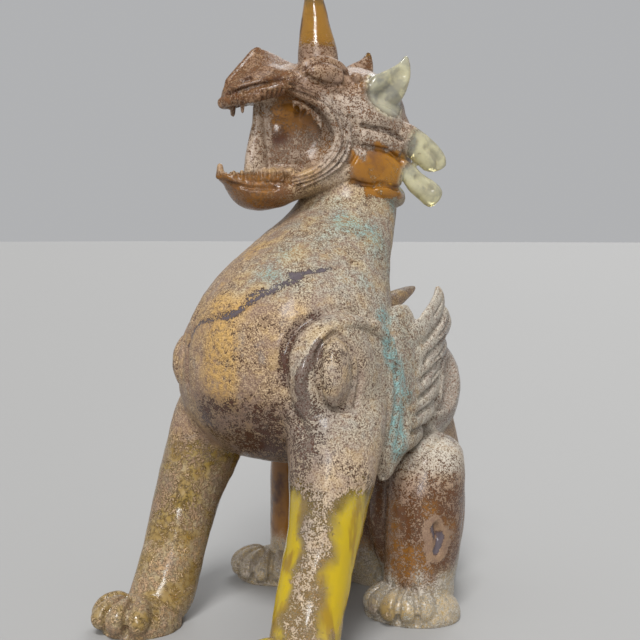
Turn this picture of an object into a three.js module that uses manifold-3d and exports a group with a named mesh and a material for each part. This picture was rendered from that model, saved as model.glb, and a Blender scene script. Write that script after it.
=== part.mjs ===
// A seated winged guardian lion, cast in glass as one solid piece.
// Millimetres. The animal faces -Y, its own left is +X, +Z is up and it stands on z = 0.
import * as THREE from "three";
import { mergeVertices } from "three/addons/utils/BufferGeometryUtils.js";
import Module from "manifold-3d";

const wasm = await Module();
wasm.setup();

// Driving sizes of the whole figure.
const HORN_TIP_Z = 261;
const HEAD_TURN = THREE.MathUtils.degToRad(29);
const HEAD_X = 2;
const HEAD_Y = 34;
const BODY_X = 1;
const RUMP_X = 5;
const NECK_FOOT_Z = 136;
const SHOULDER_Z = 97;
const MOUTH_FLOOR_Z = 176;
const MOUTH_ROOF_Z = 203;
const MOUTH_BACK = 12;
const CHEEK_HALF = 18;
const COLLAR_RADIUS = 19;
const COLLAR_THICK = 3.4;
const COLLAR_Z = 170;
const COLLAR_ARC = Math.PI * 1.66;
const COLLAR_MIDDLE = Math.PI / 2 + 0.5;
const TOE_FAN = THREE.MathUtils.degToRad(92);
const FEATHERS = 5;
const LOWER_TEETH = 5;
const FLOOR_CUT = 40;

// How finely each kind of form is faceted.
const BODY_SIDES = 20;
const LIMB_SIDES = 12;
const SMALL_SIDES = 6;
const END_CROWDING = 0.6;

// Turns a closed geometry into a solid that can be joined and cut.
function solidOf(geometry) {
  const bare = geometry.clone();
  bare.deleteAttribute("normal");
  bare.deleteAttribute("uv");
  const welded = mergeVertices(bare, 1e-3);
  return new wasm.Manifold(
    new wasm.Mesh({
      numProp: 3,
      vertProperties: new Float32Array(welded.attributes.position.array),
      triVerts: new Uint32Array(welded.index.array),
    }),
  );
}

// Turns a solid back into a geometry that can be shown.
function geometryOf(solid) {
  const mesh = solid.getMesh();
  const geometry = new THREE.BufferGeometry();
  geometry.setAttribute("position", new THREE.BufferAttribute(mesh.vertProperties, 3));
  geometry.setIndex(new THREE.BufferAttribute(mesh.triVerts, 1));
  geometry.computeVertexNormals();
  return geometry;
}

function joined(solids) {
  return solids.reduce((whole, piece) => whole.add(piece));
}

// Places a point given as forward, to the animal's left and up in the turned head.
function headPoint(forward, left, z) {
  const sin = Math.sin(HEAD_TURN);
  const cos = Math.cos(HEAD_TURN);
  return [
    HEAD_X - forward * sin + left * cos,
    HEAD_Y - forward * cos - left * sin,
    z,
  ];
}
const HEAD_LEFT = new THREE.Vector3(Math.cos(HEAD_TURN), -Math.sin(HEAD_TURN), 0);

// A closed skin over elliptical sections, each one [x, y, z, half across, half deep].
// Level sections lie flat. Others stand square to the path with "across" along the given axis,
// or plumb where the path only dips a little.
function loft(sections, { sides, rows, across = null, plumb = false, round = 0.25 }) {
  const path = new THREE.CatmullRomCurve3(sections.map((s) => new THREE.Vector3(s[0], s[1], s[2])));
  const sizes = new THREE.CatmullRomCurve3(sections.map((s) => new THREE.Vector3(s[3], s[4], 0)));
  const geometry = new THREE.SphereGeometry(1, sides, rows);
  const position = geometry.attributes.position;
  const sideways = new THREE.Vector3();
  const outward = new THREE.Vector3();
  for (let row = 0; row <= rows; row++) {
    const even = row / rows;
    const along = even - (END_CROWDING * Math.sin(2 * Math.PI * even)) / (2 * Math.PI);
    const centre = path.getPoint(along);
    const size = sizes.getPoint(along);
    const toEnd = Math.min(along, 1 - along) / round;
    const cap = toEnd < 1 ? Math.sqrt(Math.max(0, 1 - (1 - toEnd) ** 2)) : 1;
    if (across) {
      const ahead = path.getTangent(along);
      if (plumb) ahead.setZ(0).normalize();
      sideways.copy(across).addScaledVector(ahead, -across.dot(ahead)).normalize();
      outward.crossVectors(sideways, ahead);
    } else {
      const rising = sections[sections.length - 1][2] > sections[0][2] ? 1 : -1;
      sideways.set(1, 0, 0);
      outward.set(0, -rising, 0);
    }
    for (let side = 0; side <= sides; side++) {
      const turn = (2 * Math.PI * (side % sides)) / sides;
      const point = centre
        .clone()
        .addScaledVector(sideways, Math.cos(turn) * size.x * cap)
        .addScaledVector(outward, Math.sin(turn) * size.y * cap);
      position.setXYZ(row * (sides + 1) + side, point.x, point.y, point.z);
    }
  }
  const solid = solidOf(geometry);
  return solid.volume() < 0 ? flipped(geometry) : solid;
}

function flipped(geometry) {
  const turned = geometry.clone();
  const index = Array.from(turned.index.array);
  for (let i = 0; i < index.length; i += 3) {
    [index[i + 1], index[i + 2]] = [index[i + 2], index[i + 1]];
  }
  turned.setIndex(index);
  return solidOf(turned);
}

// An ellipsoid, turned about the vertical by an angle.
function ball(centre, radii, sides, turn = 0) {
  const geometry = new THREE.SphereGeometry(1, sides, Math.round(sides * 0.6));
  geometry.rotateX(Math.PI / 2);
  geometry.scale(...radii);
  geometry.rotateZ(turn);
  geometry.translate(...centre);
  return solidOf(geometry);
}

// A round bar of changing radius along a list of points, square to its path.
function bar(points, radii, { sides = SMALL_SIDES, rows = 10, flat = 1, across, round = 0.2 }) {
  const sections = points.map((p, i) => [...p, radii[i], radii[i] * flat]);
  return loft(sections, { sides, rows, across, round });
}

// A small cone standing on a point.
function spike(foot, radius, height) {
  const geometry = new THREE.ConeGeometry(radius, height, 5, 1);
  geometry.rotateX(Math.PI / 2);
  geometry.translate(foot[0], foot[1], foot[2] + height / 2);
  return solidOf(geometry);
}

// Chest and neck, in level sections from the belly up into the head.
function chestAndNeck() {
  return loft(
    [
      [BODY_X, 6, 62, 22, 22],
      [BODY_X, 2, 69, 35, 32],
      [BODY_X, -2, 80, 41.5, 38],
      [BODY_X, -5, 93, 43.5, 40],
      [BODY_X, -4, 108, 42.5, 40.5],
      [BODY_X, -1, 123, 38, 39],
      [BODY_X, 6, NECK_FOOT_Z, 33, 34.5],
      [HEAD_X, 19.5, 150, 26.5, 28],
      [HEAD_X, 32.5, 163, 20.5, 21.5],
      [HEAD_X, 36, 173, 19, 19.5],
      [HEAD_X, 36, 190, 15, 16],
    ],
    { sides: BODY_SIDES, rows: 14, round: 0.06 },
  );
}

// Back and belly between the chest and the hips.
function trunk() {
  return loft(
    [
      [BODY_X, -10, 96, 28, 22],
      [BODY_X, 12, 95, 35, 29],
      [BODY_X + 1, 32, 93, 33, 30],
      [RUMP_X - 1, 50, 88, 30, 30],
      [RUMP_X, 68, 80, 28, 30],
      [RUMP_X, 90, 70, 17, 20],
    ],
    { sides: 16, rows: 9, across: new THREE.Vector3(1, 0, 0), round: 0.18 },
  );
}

// The seat, which comes down to the floor behind the hind legs.
function seat() {
  return loft(
    [
      [RUMP_X, 67, -14, 25, 20],
      [RUMP_X, 67, 10, 29, 24],
      [RUMP_X, 68, 34, 31, 27],
      [RUMP_X, 66, 62, 28, 27],
      [RUMP_X, 60, 90, 24, 22],
    ],
    { sides: 14, rows: 7, round: 0.12 },
  );
}

// The hips, rounded masses above and behind the knees, and the thighs under them.
function haunches() {
  return [
    ball([RUMP_X + 17, 53, 87], [20, 21, 24], 12),
    ball([RUMP_X - 20, 60, 86], [20, 22, 24], 12),
    ball([RUMP_X + 19, 50, 40], [16, 25, 37], 12),
    ball([RUMP_X - 22, 58, 40], [16, 25, 37], 12),
  ];
}

// A leg as a loft of level sections, from the foot up.
const FRONT_LEFT = [
  [42, -51.5, -4, 13.5, 14.5],
  [41.5, -47.5, 10, 12.2, 13],
  [40.5, -40, 30, 12.6, 13.5],
  [40, -33, 48, 13.2, 14.2],
  [38.5, -27, 64, 15.5, 16.5],
  [34, -18, 82, 17, 21],
  [30, -10, 100, 14, 20],
];
const FRONT_RIGHT = [
  [-37, -44, -4, 14, 15],
  [-37, -37, 10, 12.8, 13.8],
  [-37.5, -30, 26, 12.4, 13.4],
  [-37.5, -22.5, 44, 13, 14.4],
  [-36.5, -15, 60, 15, 17],
  [-32, -9, 82, 15, 20],
  [-28, -5, 100, 13, 18],
];
const HIND_LEFT = [
  [40, 29, -5, 14, 16.5],
  [40, 29.5, 12, 13.8, 16],
  [41, 31, 30, 14.5, 17],
  [41, 32.5, 48, 15, 17.5],
  [40, 36, 62, 14.5, 16.5],
  [38, 40, 71.5, 12, 13],
];
const HIND_RIGHT = [
  [-33, 46, -5, 14, 16],
  [-32.5, 47, 12, 13.5, 15.5],
  [-33, 50, 30, 15, 17],
  [-33, 51, 48, 15.5, 17.5],
  [-31, 54, 62, 15, 16.5],
  [-28, 57, 71, 12.5, 13.5],
];
function legs() {
  return [FRONT_LEFT, FRONT_RIGHT, HIND_LEFT, HIND_RIGHT].map((sections) =>
    loft(sections, { sides: LIMB_SIDES, rows: 8, round: 0.16 }),
  );
}

// A paw: a low pad with a fan of rounded toes.
function paw({ x, y, width, length, toes, turn }) {
  const pad = ball([x, y, 2], [width / 2, length / 2, 12], 10, turn);
  const toeRadius = (width / toes) * 0.66;
  const made = [pad];
  for (let i = 0; i < toes; i++) {
    const offMiddle = i / (toes - 1) - 0.5;
    const angle = turn + TOE_FAN * offMiddle;
    const reach = length * 0.5 - 3 * Math.abs(offMiddle);
    const along = [Math.sin(angle), -Math.cos(angle)];
    const from = [x + along[0] * reach * 0.2, y + along[1] * reach * 0.2, 9];
    const knuckle = [x + along[0] * reach * 0.78, y + along[1] * reach * 0.78, 7.4];
    const tip = [x + along[0] * (reach + 3), y + along[1] * (reach + 3), 3.2];
    made.push(
      bar([from, knuckle, tip], [toeRadius, toeRadius, toeRadius * 0.8], {
        sides: 6,
        rows: 4,
        across: new THREE.Vector3(Math.cos(angle), Math.sin(angle), 0),
        round: 0.3,
      }),
    );
  }
  return made;
}
function paws() {
  return [
    ...paw({ x: 43, y: -55, width: 34, length: 36, toes: 4, turn: 0.1 }),
    ...paw({ x: -36, y: -50, width: 32, length: 34, toes: 4, turn: -0.1 }),
    ...paw({ x: 39.5, y: 25.5, width: 42, length: 36, toes: 5, turn: 0.05 }),
    ...paw({ x: -37, y: 35, width: 38, length: 38, toes: 5, turn: -0.1 }),
  ];
}

// Shoulder, comma boss and feathered wing of one side.
function wing(side) {
  const inset = side > 0 ? 0 : 3.5;
  const back = side > 0 ? 0 : 4;
  const at = (x, y, z) => [BODY_X + side * (x - BODY_X - inset), y + back, z];
  const outward = new THREE.Vector3(side, 0, 0);
  const shoulder = ball(at(29, -15, SHOULDER_Z), [16.5, 25, 29], 12);
  const boss = ball(at(39 - inset, -26, 101), [6, 11.5, 13], 8, side * 0.45);
  const rim = bar(
    [
      at(33, -36, 88),
      at(32.5, -37.5, 102),
      at(35, -28.5, 115),
      at(39, -12, 119),
      at(41.5, 2, 112),
      at(42.5, 6, 96),
    ],
    [2, 3, 3.2, 3.2, 3.4, 2.6],
    { rows: 10, across: outward, round: 0.12 },
  );
  const shield = loft(
    [
      [...at(40, 0, 59), 4, 6],
      [...at(40.5, 5, 74), 5, 19],
      [...at(39, 10, 92), 7, 25],
      [...at(37.5, 15, 108), 7, 21],
      [...at(36, 20, 120), 4.5, 13],
    ],
    { sides: 10, rows: 7, round: 0.2 },
  );
  const feathers = [];
  for (let i = 0; i < FEATHERS; i++) {
    const down = i / (FEATHERS - 1);
    const bulge = Math.sin(Math.PI * (0.25 + 0.6 * down));
    const tip = at(34.6 - bulge * 1.2 + down, 44 + 17 * bulge - 12 * down, 130.5 - 52 * down);
    const root = at(38, 19 - 9 * down, 104 - 38 * down);
    const mid = root.map((v, axis) => (v + tip[axis]) / 2 + (axis === 0 ? side * 1.5 : 0));
    feathers.push(
      bar([root, mid, tip], [8, 7.8, 4.8], {
        sides: 6,
        rows: 5,
        flat: 0.5,
        across: new THREE.Vector3(0, -0.7, 0.7),
        round: 0.3,
      }),
    );
  }
  return [shoulder, boss, rim, shield, ...feathers];
}

// The tail, held up against the back, and the pointed tuft that stands free above it.
function tail() {
  const across = new THREE.Vector3(1, 0, 0);
  return [
    bar(
      [[RUMP_X + 1, 86, 22], [RUMP_X + 1, 93, 46], [RUMP_X, 90, 76], [RUMP_X, 78, 98], [RUMP_X - 1, 66, 112]],
      [6.5, 8, 8.5, 8, 5],
      { sides: 8, rows: 8, flat: 0.75, across, round: 0.12 },
    ),
    bar(
      [[RUMP_X - 2, 52, 117], [RUMP_X - 2, 66, 122], [RUMP_X - 2, 85, 127.5]],
      [5, 4.4, 1.4],
      { sides: 6, rows: 6, across, round: 0.12 },
    ),
  ];
}

// Skull with the mass of mane behind it.
function skull() {
  return [
    ball(headPoint(0, 0, 198), [19.5, 25, 25], 14, -HEAD_TURN),
    ball(headPoint(-13, 0, 188), [16.5, 15, 21], 12, -HEAD_TURN),
    ball(headPoint(9, 0, 179), [CHEEK_HALF, 14, 15], 12, -HEAD_TURN),
  ];
}

// Upper jaw and nose, from the brow to the lip.
function upperJaw() {
  return loft(
    [
      [...headPoint(8, 0, 211), 17.5, 12],
      [...headPoint(22, 0, 211), 15.5, 9],
      [...headPoint(31, 0, 211), 13, 7.6],
      [...headPoint(40, 0, 213.6), 10.5, 10.4],
      [...headPoint(46, 0, 210.4), 9, 7],
      [...headPoint(51.5, 0, 207.8), 7.5, 4.2],
      [...headPoint(54.5, 0, 205.2), 5.5, 1.8],
    ],
    { sides: 12, rows: 12, across: HEAD_LEFT, plumb: true, round: 0.03 },
  );
}

function lowerJaw() {
  return loft(
    [
      [...headPoint(8, 0, 174.5), 16.5, 7],
      [...headPoint(22, 0, 171), 15.5, 5.6],
      [...headPoint(33, 0, 168), 13.5, 6.6],
      [...headPoint(42, 0, 167.5), 11, 7],
      [...headPoint(49, 0, 169.2), 8.5, 5.2],
      [...headPoint(53, 0, 172.4), 6.5, 2.8],
      [...headPoint(56.5, 0, 174.4), 4, 1.5],
    ],
    { sides: 12, rows: 10, across: HEAD_LEFT, plumb: true, round: 0.04 },
  );
}

// The hollow between the jaws: open in front, with a deep pocket in each cheek.
function mouthHollow() {
  const middle = (MOUTH_FLOOR_Z + MOUTH_ROOF_Z) / 2;
  const tall = (MOUTH_ROOF_Z - MOUTH_FLOOR_Z) / 2;
  const pocket = (side) =>
    ball(headPoint(MOUTH_BACK + 15.5, side * 16, middle), [12, 16, tall + 0.5], 12, -HEAD_TURN);
  const gape = loft(
    [
      [...headPoint(32, 0, middle), 22, tall],
      [...headPoint(40, 0, middle), 24, tall],
      [...headPoint(52, 0, middle), 25, tall],
      [...headPoint(66, 0, middle), 26, tall],
    ],
    { sides: 12, rows: 6, across: HEAD_LEFT, round: 0.2 },
  );
  return joined([gape, pocket(1), pocket(-1)]);
}

// The wall of glass left standing between the two cheek pockets.
function mouthCore() {
  return ball(headPoint(22, 0, 190), [6, 15.5, 17], 12, -HEAD_TURN);
}

// Lips curling round the corner of the mouth, with the fold behind them.
function lips(side) {
  const lip = bar(
    [
      headPoint(44, side * 9, 204.5),
      headPoint(33, side * 13.5, 210),
      headPoint(22, side * 16.5, 204),
      headPoint(12, side * CHEEK_HALF, 195),
      headPoint(12, side * CHEEK_HALF, 184),
      headPoint(20, side * 16.5, 175.5),
      headPoint(34, side * 13.5, 173),
      headPoint(50, side * 8, 173),
    ],
    [1.6, 2.2, 2.6, 2.6, 2.6, 2.4, 2.2, 1.6],
    { sides: 5, rows: 13, across: HEAD_LEFT, round: 0.06 },
  );
  const fold = bar(
    [
      headPoint(18, side * 17, 209),
      headPoint(7, side * 18.5, 200),
      headPoint(4.5, side * 18.5, 189),
      headPoint(8, side * 18, 178),
      headPoint(19, side * 15.5, 169.5),
    ],
    [2, 2.8, 2.8, 2.6, 2],
    { sides: 5, rows: 7, across: HEAD_LEFT, round: 0.12 },
  );
  return [lip, fold];
}

// Brow ridge and bulging eye of one side.
function eye(side) {
  return [
    ball(headPoint(18, side * 14.5, 213.5), [5.2, 5.2, 5.2], 8),
    bar(
      [headPoint(32, side * 7, 216.5), headPoint(22, side * 13.5, 220), headPoint(9, side * 16, 219)],
      [2.2, 3.2, 2.6],
      { sides: 5, rows: 6, across: HEAD_LEFT, round: 0.25 },
    ),
  ];
}

// A leaf-shaped ear standing up behind the brow. The right one is held higher.
function ear(side) {
  const perk = side > 0 ? 0 : 6.5;
  return bar(
    [
      headPoint(-5, side * 13, 203 + perk),
      headPoint(-10, side * 15.5, 212 + perk),
      headPoint(-17, side * 16.5, 223.5 + perk),
    ],
    [8, 7.6, 1.4],
    { sides: 6, rows: 6, flat: 0.5, across: new THREE.Vector3(0.485, 0.875, 0), round: 0.16 },
  );
}

// Two locks of mane that end in free curls behind the cheek.
function mane(side) {
  const lock = (points, radii) =>
    bar(
      points.map(([forward, left, z]) => headPoint(forward, side * left, z)),
      radii,
      { rows: 6, flat: 1.5, across: HEAD_LEFT, round: 0.18 },
    );
  return [
    lock([[-12, 15, 196], [-24, 16.5, 189], [-38, 16, 180]], [4, 4.2, 3]),
    lock([[-13, 14, 175], [-24, 15, 170], [-37, 15, 167]], [3.4, 3.8, 2.6]),
  ];
}

// The rolled collar where the head meets the neck.
function collar() {
  const points = [];
  const radii = [];
  const steps = 10;
  for (let i = 0; i <= steps; i++) {
    const turn = COLLAR_ARC * (i / steps - 0.5) + COLLAR_MIDDLE;
    points.push([
      HEAD_X + COLLAR_RADIUS * Math.cos(turn),
      HEAD_Y + 2 + COLLAR_RADIUS * Math.sin(turn),
      COLLAR_Z,
    ]);
    radii.push(COLLAR_THICK);
  }
  return bar(points, radii, { sides: 5, rows: 12, across: new THREE.Vector3(0, 0, 1), round: 0.06 });
}

// The single horn, upright over the brow and a little swept forward.
function horn() {
  const foot = 216;
  const part = (z, forward, radius) => [...headPoint(forward, 0, z), radius, radius];
  return loft([part(foot, 13.5, 8.8), part(226, 14, 7.8), part(245, 15.6, 4), part(HORN_TIP_Z, 17.5, 1.3)], {
    sides: 8,
    rows: 6,
    round: 0.04,
  });
}

// The tongue rises from the floor of the mouth almost to the roof.
function tongue() {
  return [
    loft(
      [
        [...headPoint(38.5, 0, 168), 5, 8],
        [...headPoint(39, 0, 181), 3.4, 6],
        [...headPoint(39.2, 0, 192), 2.6, 3.6],
        [...headPoint(40, 0, 202), 1.6, 1.8],
      ],
      { sides: 8, rows: 7, round: 0.08 },
    ),
    ball(headPoint(27, 0, 174), [8, 14, 5], 10, -HEAD_TURN),
  ];
}

// The row of teeth along the lower lip.
function teeth(side) {
  const places = Array.from({ length: LOWER_TEETH }, (_, i) =>
    headPoint(51 - 3.4 * i, side * (5.4 + 1.3 * i), 172.5),
  );
  return places.map((foot) => spike(foot, 1.5, 6.5));
}

function headAddOns() {
  const pieces = [collar(), horn(), ...tongue(), spike(headPoint(56, 0, 172.5), 2.2, 7)];
  for (const side of [1, -1]) {
    pieces.push(...lips(side), ...eye(side), ear(side), ...mane(side), ...teeth(side));
  }
  return pieces;
}

const head = joined([...skull(), upperJaw(), lowerJaw()]).subtract(mouthHollow()).add(mouthCore());
const body = joined([
  chestAndNeck(),
  trunk(),
  seat(),
  ...haunches(),
  ...legs(),
  ...paws(),
  ...wing(1),
  ...wing(-1),
  ...tail(),
]);
const whole = joined([body, head, ...headAddOns()]);
const underFloor = new THREE.BoxGeometry(400, 400, FLOOR_CUT);
underFloor.translate(0, 0, -FLOOR_CUT / 2);
const standing = whole.subtract(solidOf(underFloor));

// The frame's origin is the middle of the footprint, on the floor.
const shape = geometryOf(standing);
shape.computeBoundingBox();
const middle = shape.boundingBox.getCenter(new THREE.Vector3());
shape.translate(-middle.x, -middle.y, 0);

const glass = new THREE.MeshStandardMaterial({ color: 0x8c6a48, roughness: 0.5, metalness: 0 });
const lion = new THREE.Mesh(shape, glass);
lion.name = "guardian_lion";

const figure = new THREE.Group();
figure.add(lion);
export default figure;
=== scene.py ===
# %% [markdown]
# # A seated guardian lion in burial-crusted glass
#
# The real figure was cast in amber glass as one solid piece and then lay in the ground until most
# of its skin had turned to a sandy brown crust. This lesson builds the same thing in the order that
# a modeller would work: rounded masses first, melted into one skin, then the lips, feathers and
# toes, then the grooves that a graver would cut, and last the crust and the glass.
#
# Every measure is a millimetre of the real figure. Small helpers turn them into Blender's metres.

import math

import bpy
import numpy as np
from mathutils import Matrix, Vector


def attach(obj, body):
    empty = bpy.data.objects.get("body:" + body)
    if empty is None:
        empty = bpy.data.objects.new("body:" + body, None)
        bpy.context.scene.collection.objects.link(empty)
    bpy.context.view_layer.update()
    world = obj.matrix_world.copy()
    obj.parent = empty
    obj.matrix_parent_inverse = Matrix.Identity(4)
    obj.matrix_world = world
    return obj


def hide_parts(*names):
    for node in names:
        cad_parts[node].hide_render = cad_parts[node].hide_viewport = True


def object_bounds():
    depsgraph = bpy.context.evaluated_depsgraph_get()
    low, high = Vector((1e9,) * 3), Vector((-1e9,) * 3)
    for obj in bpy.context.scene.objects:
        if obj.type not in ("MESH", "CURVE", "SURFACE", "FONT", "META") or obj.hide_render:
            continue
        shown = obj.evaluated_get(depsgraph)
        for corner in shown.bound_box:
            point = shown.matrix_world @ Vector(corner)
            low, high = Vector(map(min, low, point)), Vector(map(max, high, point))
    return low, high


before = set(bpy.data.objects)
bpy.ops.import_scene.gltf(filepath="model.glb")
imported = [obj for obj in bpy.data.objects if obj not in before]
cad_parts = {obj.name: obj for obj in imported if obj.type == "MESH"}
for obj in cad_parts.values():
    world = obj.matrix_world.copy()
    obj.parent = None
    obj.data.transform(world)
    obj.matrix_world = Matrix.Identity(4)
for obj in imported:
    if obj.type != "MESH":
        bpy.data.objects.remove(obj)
cad_low, cad_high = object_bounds()
print("solid model, mm:", [round(1000 * (h - l), 1) for l, h in zip(cad_low, cad_high)])

# %% [markdown]
# ## The measures that drive the figure
#
# A modeller fixes a few sizes before touching clay: how high the horn reaches, how far the head is
# turned, where the mouth opens. All later points hang on these. The drawing's own origin lies under
# the chest, and the frame's origin is the middle of the footprint, so the two differ by a shift.

# %% Driving measures
MM = 0.001
DRAWING_MIDDLE = np.array([2.28434, 11.87571, 0.0])
HORN_TIP_Z = 261
HEAD_TURN = math.radians(29)
HEAD_X = 2
HEAD_Y = 34
BODY_X = 1
RUMP_X = 5
NECK_FOOT_Z = 136
MOUTH_FLOOR_Z = 176
MOUTH_ROOF_Z = 203
SIDEWAYS = (1, 0, 0)
UPRIGHT = (0, 0, 1)
HEAD_LEFT = (math.cos(HEAD_TURN), -math.sin(HEAD_TURN), 0)


def placed(points):
    """Points of the drawing, in millimetres, as points of the frame, in metres."""
    return (np.asarray(points, float) - DRAWING_MIDDLE) * MM


def head_point(forward, left, z):
    """A point of the turned head, given forward, to the animal's left, and up."""
    sin, cos = math.sin(HEAD_TURN), math.cos(HEAD_TURN)
    return (HEAD_X - forward * sin + left * cos, HEAD_Y - forward * cos - left * sin, z)


def on_head(knots, side=1):
    """Points given forward, left and up in the head, on one side: 1 is its left, -1 its right."""
    return [head_point(forward, side * left, z) for forward, left, z in knots]


def head_sections(rows):
    """Sections on the head's middle plane, from rows of forward, up, half across and half deep."""
    return [(*head_point(forward, 0, z), half, deep) for forward, z, half, deep in rows]


print("snout at", [round(v) for v in head_point(54, 0, 205)], "mm in the drawing")

# %% [markdown]
# ## Reading and writing a mesh
#
# Operators make the pieces, but a rounded form is quicker to shape when all its points move at
# once. These helpers hand the points of a mesh over as rows of millimetres and put them back.


# %% Points of a mesh
def stored_points(piece):
    """All points of a piece as Blender keeps them, in metres."""
    flat = np.empty(len(piece.data.vertices) * 3)
    piece.data.vertices.foreach_get("co", flat)
    return flat.reshape(-1, 3)


def points_of(piece):
    """All points of a piece, in millimetres of the drawing."""
    return stored_points(piece) / MM + DRAWING_MIDDLE


def move_points(piece, points):
    """Puts the points of a piece back, given in millimetres of the drawing."""
    piece.data.vertices.foreach_set("co", placed(points).ravel())
    piece.data.update()


def normals_of(piece):
    """The outward direction at each point."""
    flat = np.empty(len(piece.data.vertices) * 3)
    piece.data.vertex_normals.foreach_get("vector", flat)
    return flat.reshape(-1, 3)


def select_only(pieces):
    """Selects these pieces and nothing else, the first one active."""
    bpy.ops.object.select_all(action="DESELECT")
    for piece in pieces:
        piece.select_set(True)
    bpy.context.view_layer.objects.active = pieces[0]


def apply_modifier(piece, kind, **settings):
    """Adds one modifier to a piece, with its settings, and applies it."""
    select_only([piece])
    modifier = piece.modifiers.new(kind.title(), kind)
    for name, value in settings.items():
        setattr(modifier, name, value)
    bpy.ops.object.modifier_apply(modifier=modifier.name)


# %% [markdown]
# ## One tool for every rounded form
#
# Legs, jaws, horn and tail are all a soft tube that swells and narrows. A UV sphere has the right
# build for that: rings of points from pole to pole, already closed. `swept` keeps the rings but
# sends them along a smooth path, each with its own width and depth, so the poles become the round
# ends. A hand modeller would extrude and scale ring after ring to reach the same shape.


# %% A smooth path through a few points
def smooth_path(knots, share):
    """Points on a smooth curve through the knots, at shares from 0 to 1 of the way along it."""
    knots = np.asarray(knots, float)
    beyond = np.array([2 * knots[0] - knots[1], *knots, 2 * knots[-1] - knots[-2]])
    place = np.clip(share, 0, 1) * (len(knots) - 1)
    first = np.minimum(place.astype(int), len(knots) - 2)
    t = (place - first)[:, None]
    before, start, end, after = (beyond[first + k] for k in range(4))

    def pace(a, b):
        return np.maximum(np.sqrt(np.linalg.norm(b - a, axis=1)), 0.01)[:, None]

    pace_in, pace_mid, pace_out = pace(before, start), pace(start, end), pace(end, after)
    leave = (start - before) / pace_in - (end - before) / (pace_in + pace_mid) + (end - start) / pace_mid
    reach = (end - start) / pace_mid - (after - start) / (pace_mid + pace_out) + (after - end) / pace_out
    leave, reach = leave * pace_mid, reach * pace_mid
    bend = 3 * (end - start) - 2 * leave - reach
    return start + leave * t + bend * t**2 + (2 * (start - end) + leave + reach) * t**3


quarter = smooth_path([(0, 0), (1, 1), (2, 0)], np.array([0.25]))
print("a quarter of the way over a hump:", quarter.round(2).tolist())

# %% Swept forms
RING_CROWDING = 0.6


def unit(vectors):
    """Directions of length one."""
    vectors = np.asarray(vectors, float)
    return vectors / np.maximum(np.linalg.norm(vectors, axis=-1, keepdims=True), 1e-9)


def swept(name, sections, sides=32, rings=32, across=None, plumb=False, ends=0.25):
    """A closed tube over sections of x, y, z, half across, half deep.

    Without `across` the sections lie level. With it they stand square to the path, or upright
    where `plumb` is set. `ends` is the share of the length over which each end closes.
    """
    sections = np.asarray(sections, float)
    bpy.ops.object.select_all(action="DESELECT")
    bpy.ops.mesh.primitive_uv_sphere_add(segments=sides, ring_count=rings, radius=1)
    piece = bpy.context.active_object
    piece.name = name
    ball_points = stored_points(piece)
    even = np.arccos(np.clip(ball_points[:, 2], -1, 1)) / math.pi
    along = even - RING_CROWDING * np.sin(2 * math.pi * even) / (2 * math.pi)
    around = unit(np.where(np.abs(ball_points[:, :2]) < 1e-6, 0, ball_points[:, :2]))
    centre = smooth_path(sections[:, :3], along)
    half = smooth_path(sections[:, 3:], along)
    to_end = np.clip(np.minimum(along, 1 - along) / ends, 0, 1)
    closing = np.sqrt(1 - (1 - to_end) ** 2)[:, None]
    if across is None:
        sideways = np.broadcast_to(np.array(SIDEWAYS, float), centre.shape)
        outward = np.broadcast_to(np.array([0.0, 1.0, 0.0]), centre.shape)
    else:
        step = 1e-4
        ahead = smooth_path(sections[:, :3], along + step) - smooth_path(sections[:, :3], along - step)
        if plumb:
            ahead[:, 2] = 0
        ahead = unit(ahead)
        lean = np.array(across, float)
        sideways = unit(lean - ahead * (ahead @ lean)[:, None])
        outward = np.cross(sideways, ahead)
    shaped = centre + closing * (
        sideways * around[:, :1] * half[:, :1] + outward * around[:, 1:] * half[:, 1:]
    )
    move_points(piece, shaped)
    return piece


print("rings crowd towards the ends by", RING_CROWDING)


# %% Bars, balls and melting
def rod(name, points, radii, flat=1.0, across=SIDEWAYS, sides=20, rings=28, ends=0.2):
    """A round or flattened bar of changing radius along a list of points."""
    sections = [(*point, radius, radius * flat) for point, radius in zip(points, radii)]
    return swept(name, sections, sides, rings, across, ends=ends)


def ball(name, centre, radii, turn=0.0):
    """An ellipsoid, turned about the vertical."""
    bpy.ops.object.select_all(action="DESELECT")
    bpy.ops.mesh.primitive_uv_sphere_add(
        segments=40,
        ring_count=28,
        radius=1,
        location=placed(centre),
        rotation=(0, 0, turn),
        scale=np.array(radii) * MM,
    )
    piece = bpy.context.active_object
    piece.name = name
    bpy.ops.object.transform_apply(location=True, rotation=True, scale=True)
    return piece


def melted(name, pieces, grain, passes):
    """Pieces melted into one closed skin of that grain in mm, softened by that many passes."""
    select_only(pieces)
    bpy.ops.object.join()
    whole = bpy.context.active_object
    whole.name = name
    apply_modifier(whole, "REMESH", mode="VOXEL", voxel_size=grain * MM, use_smooth_shade=True)
    if passes:
        apply_modifier(whole, "SMOOTH", factor=0.5, iterations=passes)
    print(name, len(whole.data.vertices), "points")
    return whole


print("four ways to make a form: swept, rod, ball and melted")

# %% [markdown]
# ## Body and legs
#
# The chest swells forward over two straight front legs and runs up into a thick neck, the back
# drops to a seat between bent hind legs. On the real figure all of this flows together, because
# the wax or clay model was smoothed by hand. So the masses are built apart, from the same sections
# as the solid model, then melted together and softened until the joins are gone.

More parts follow.
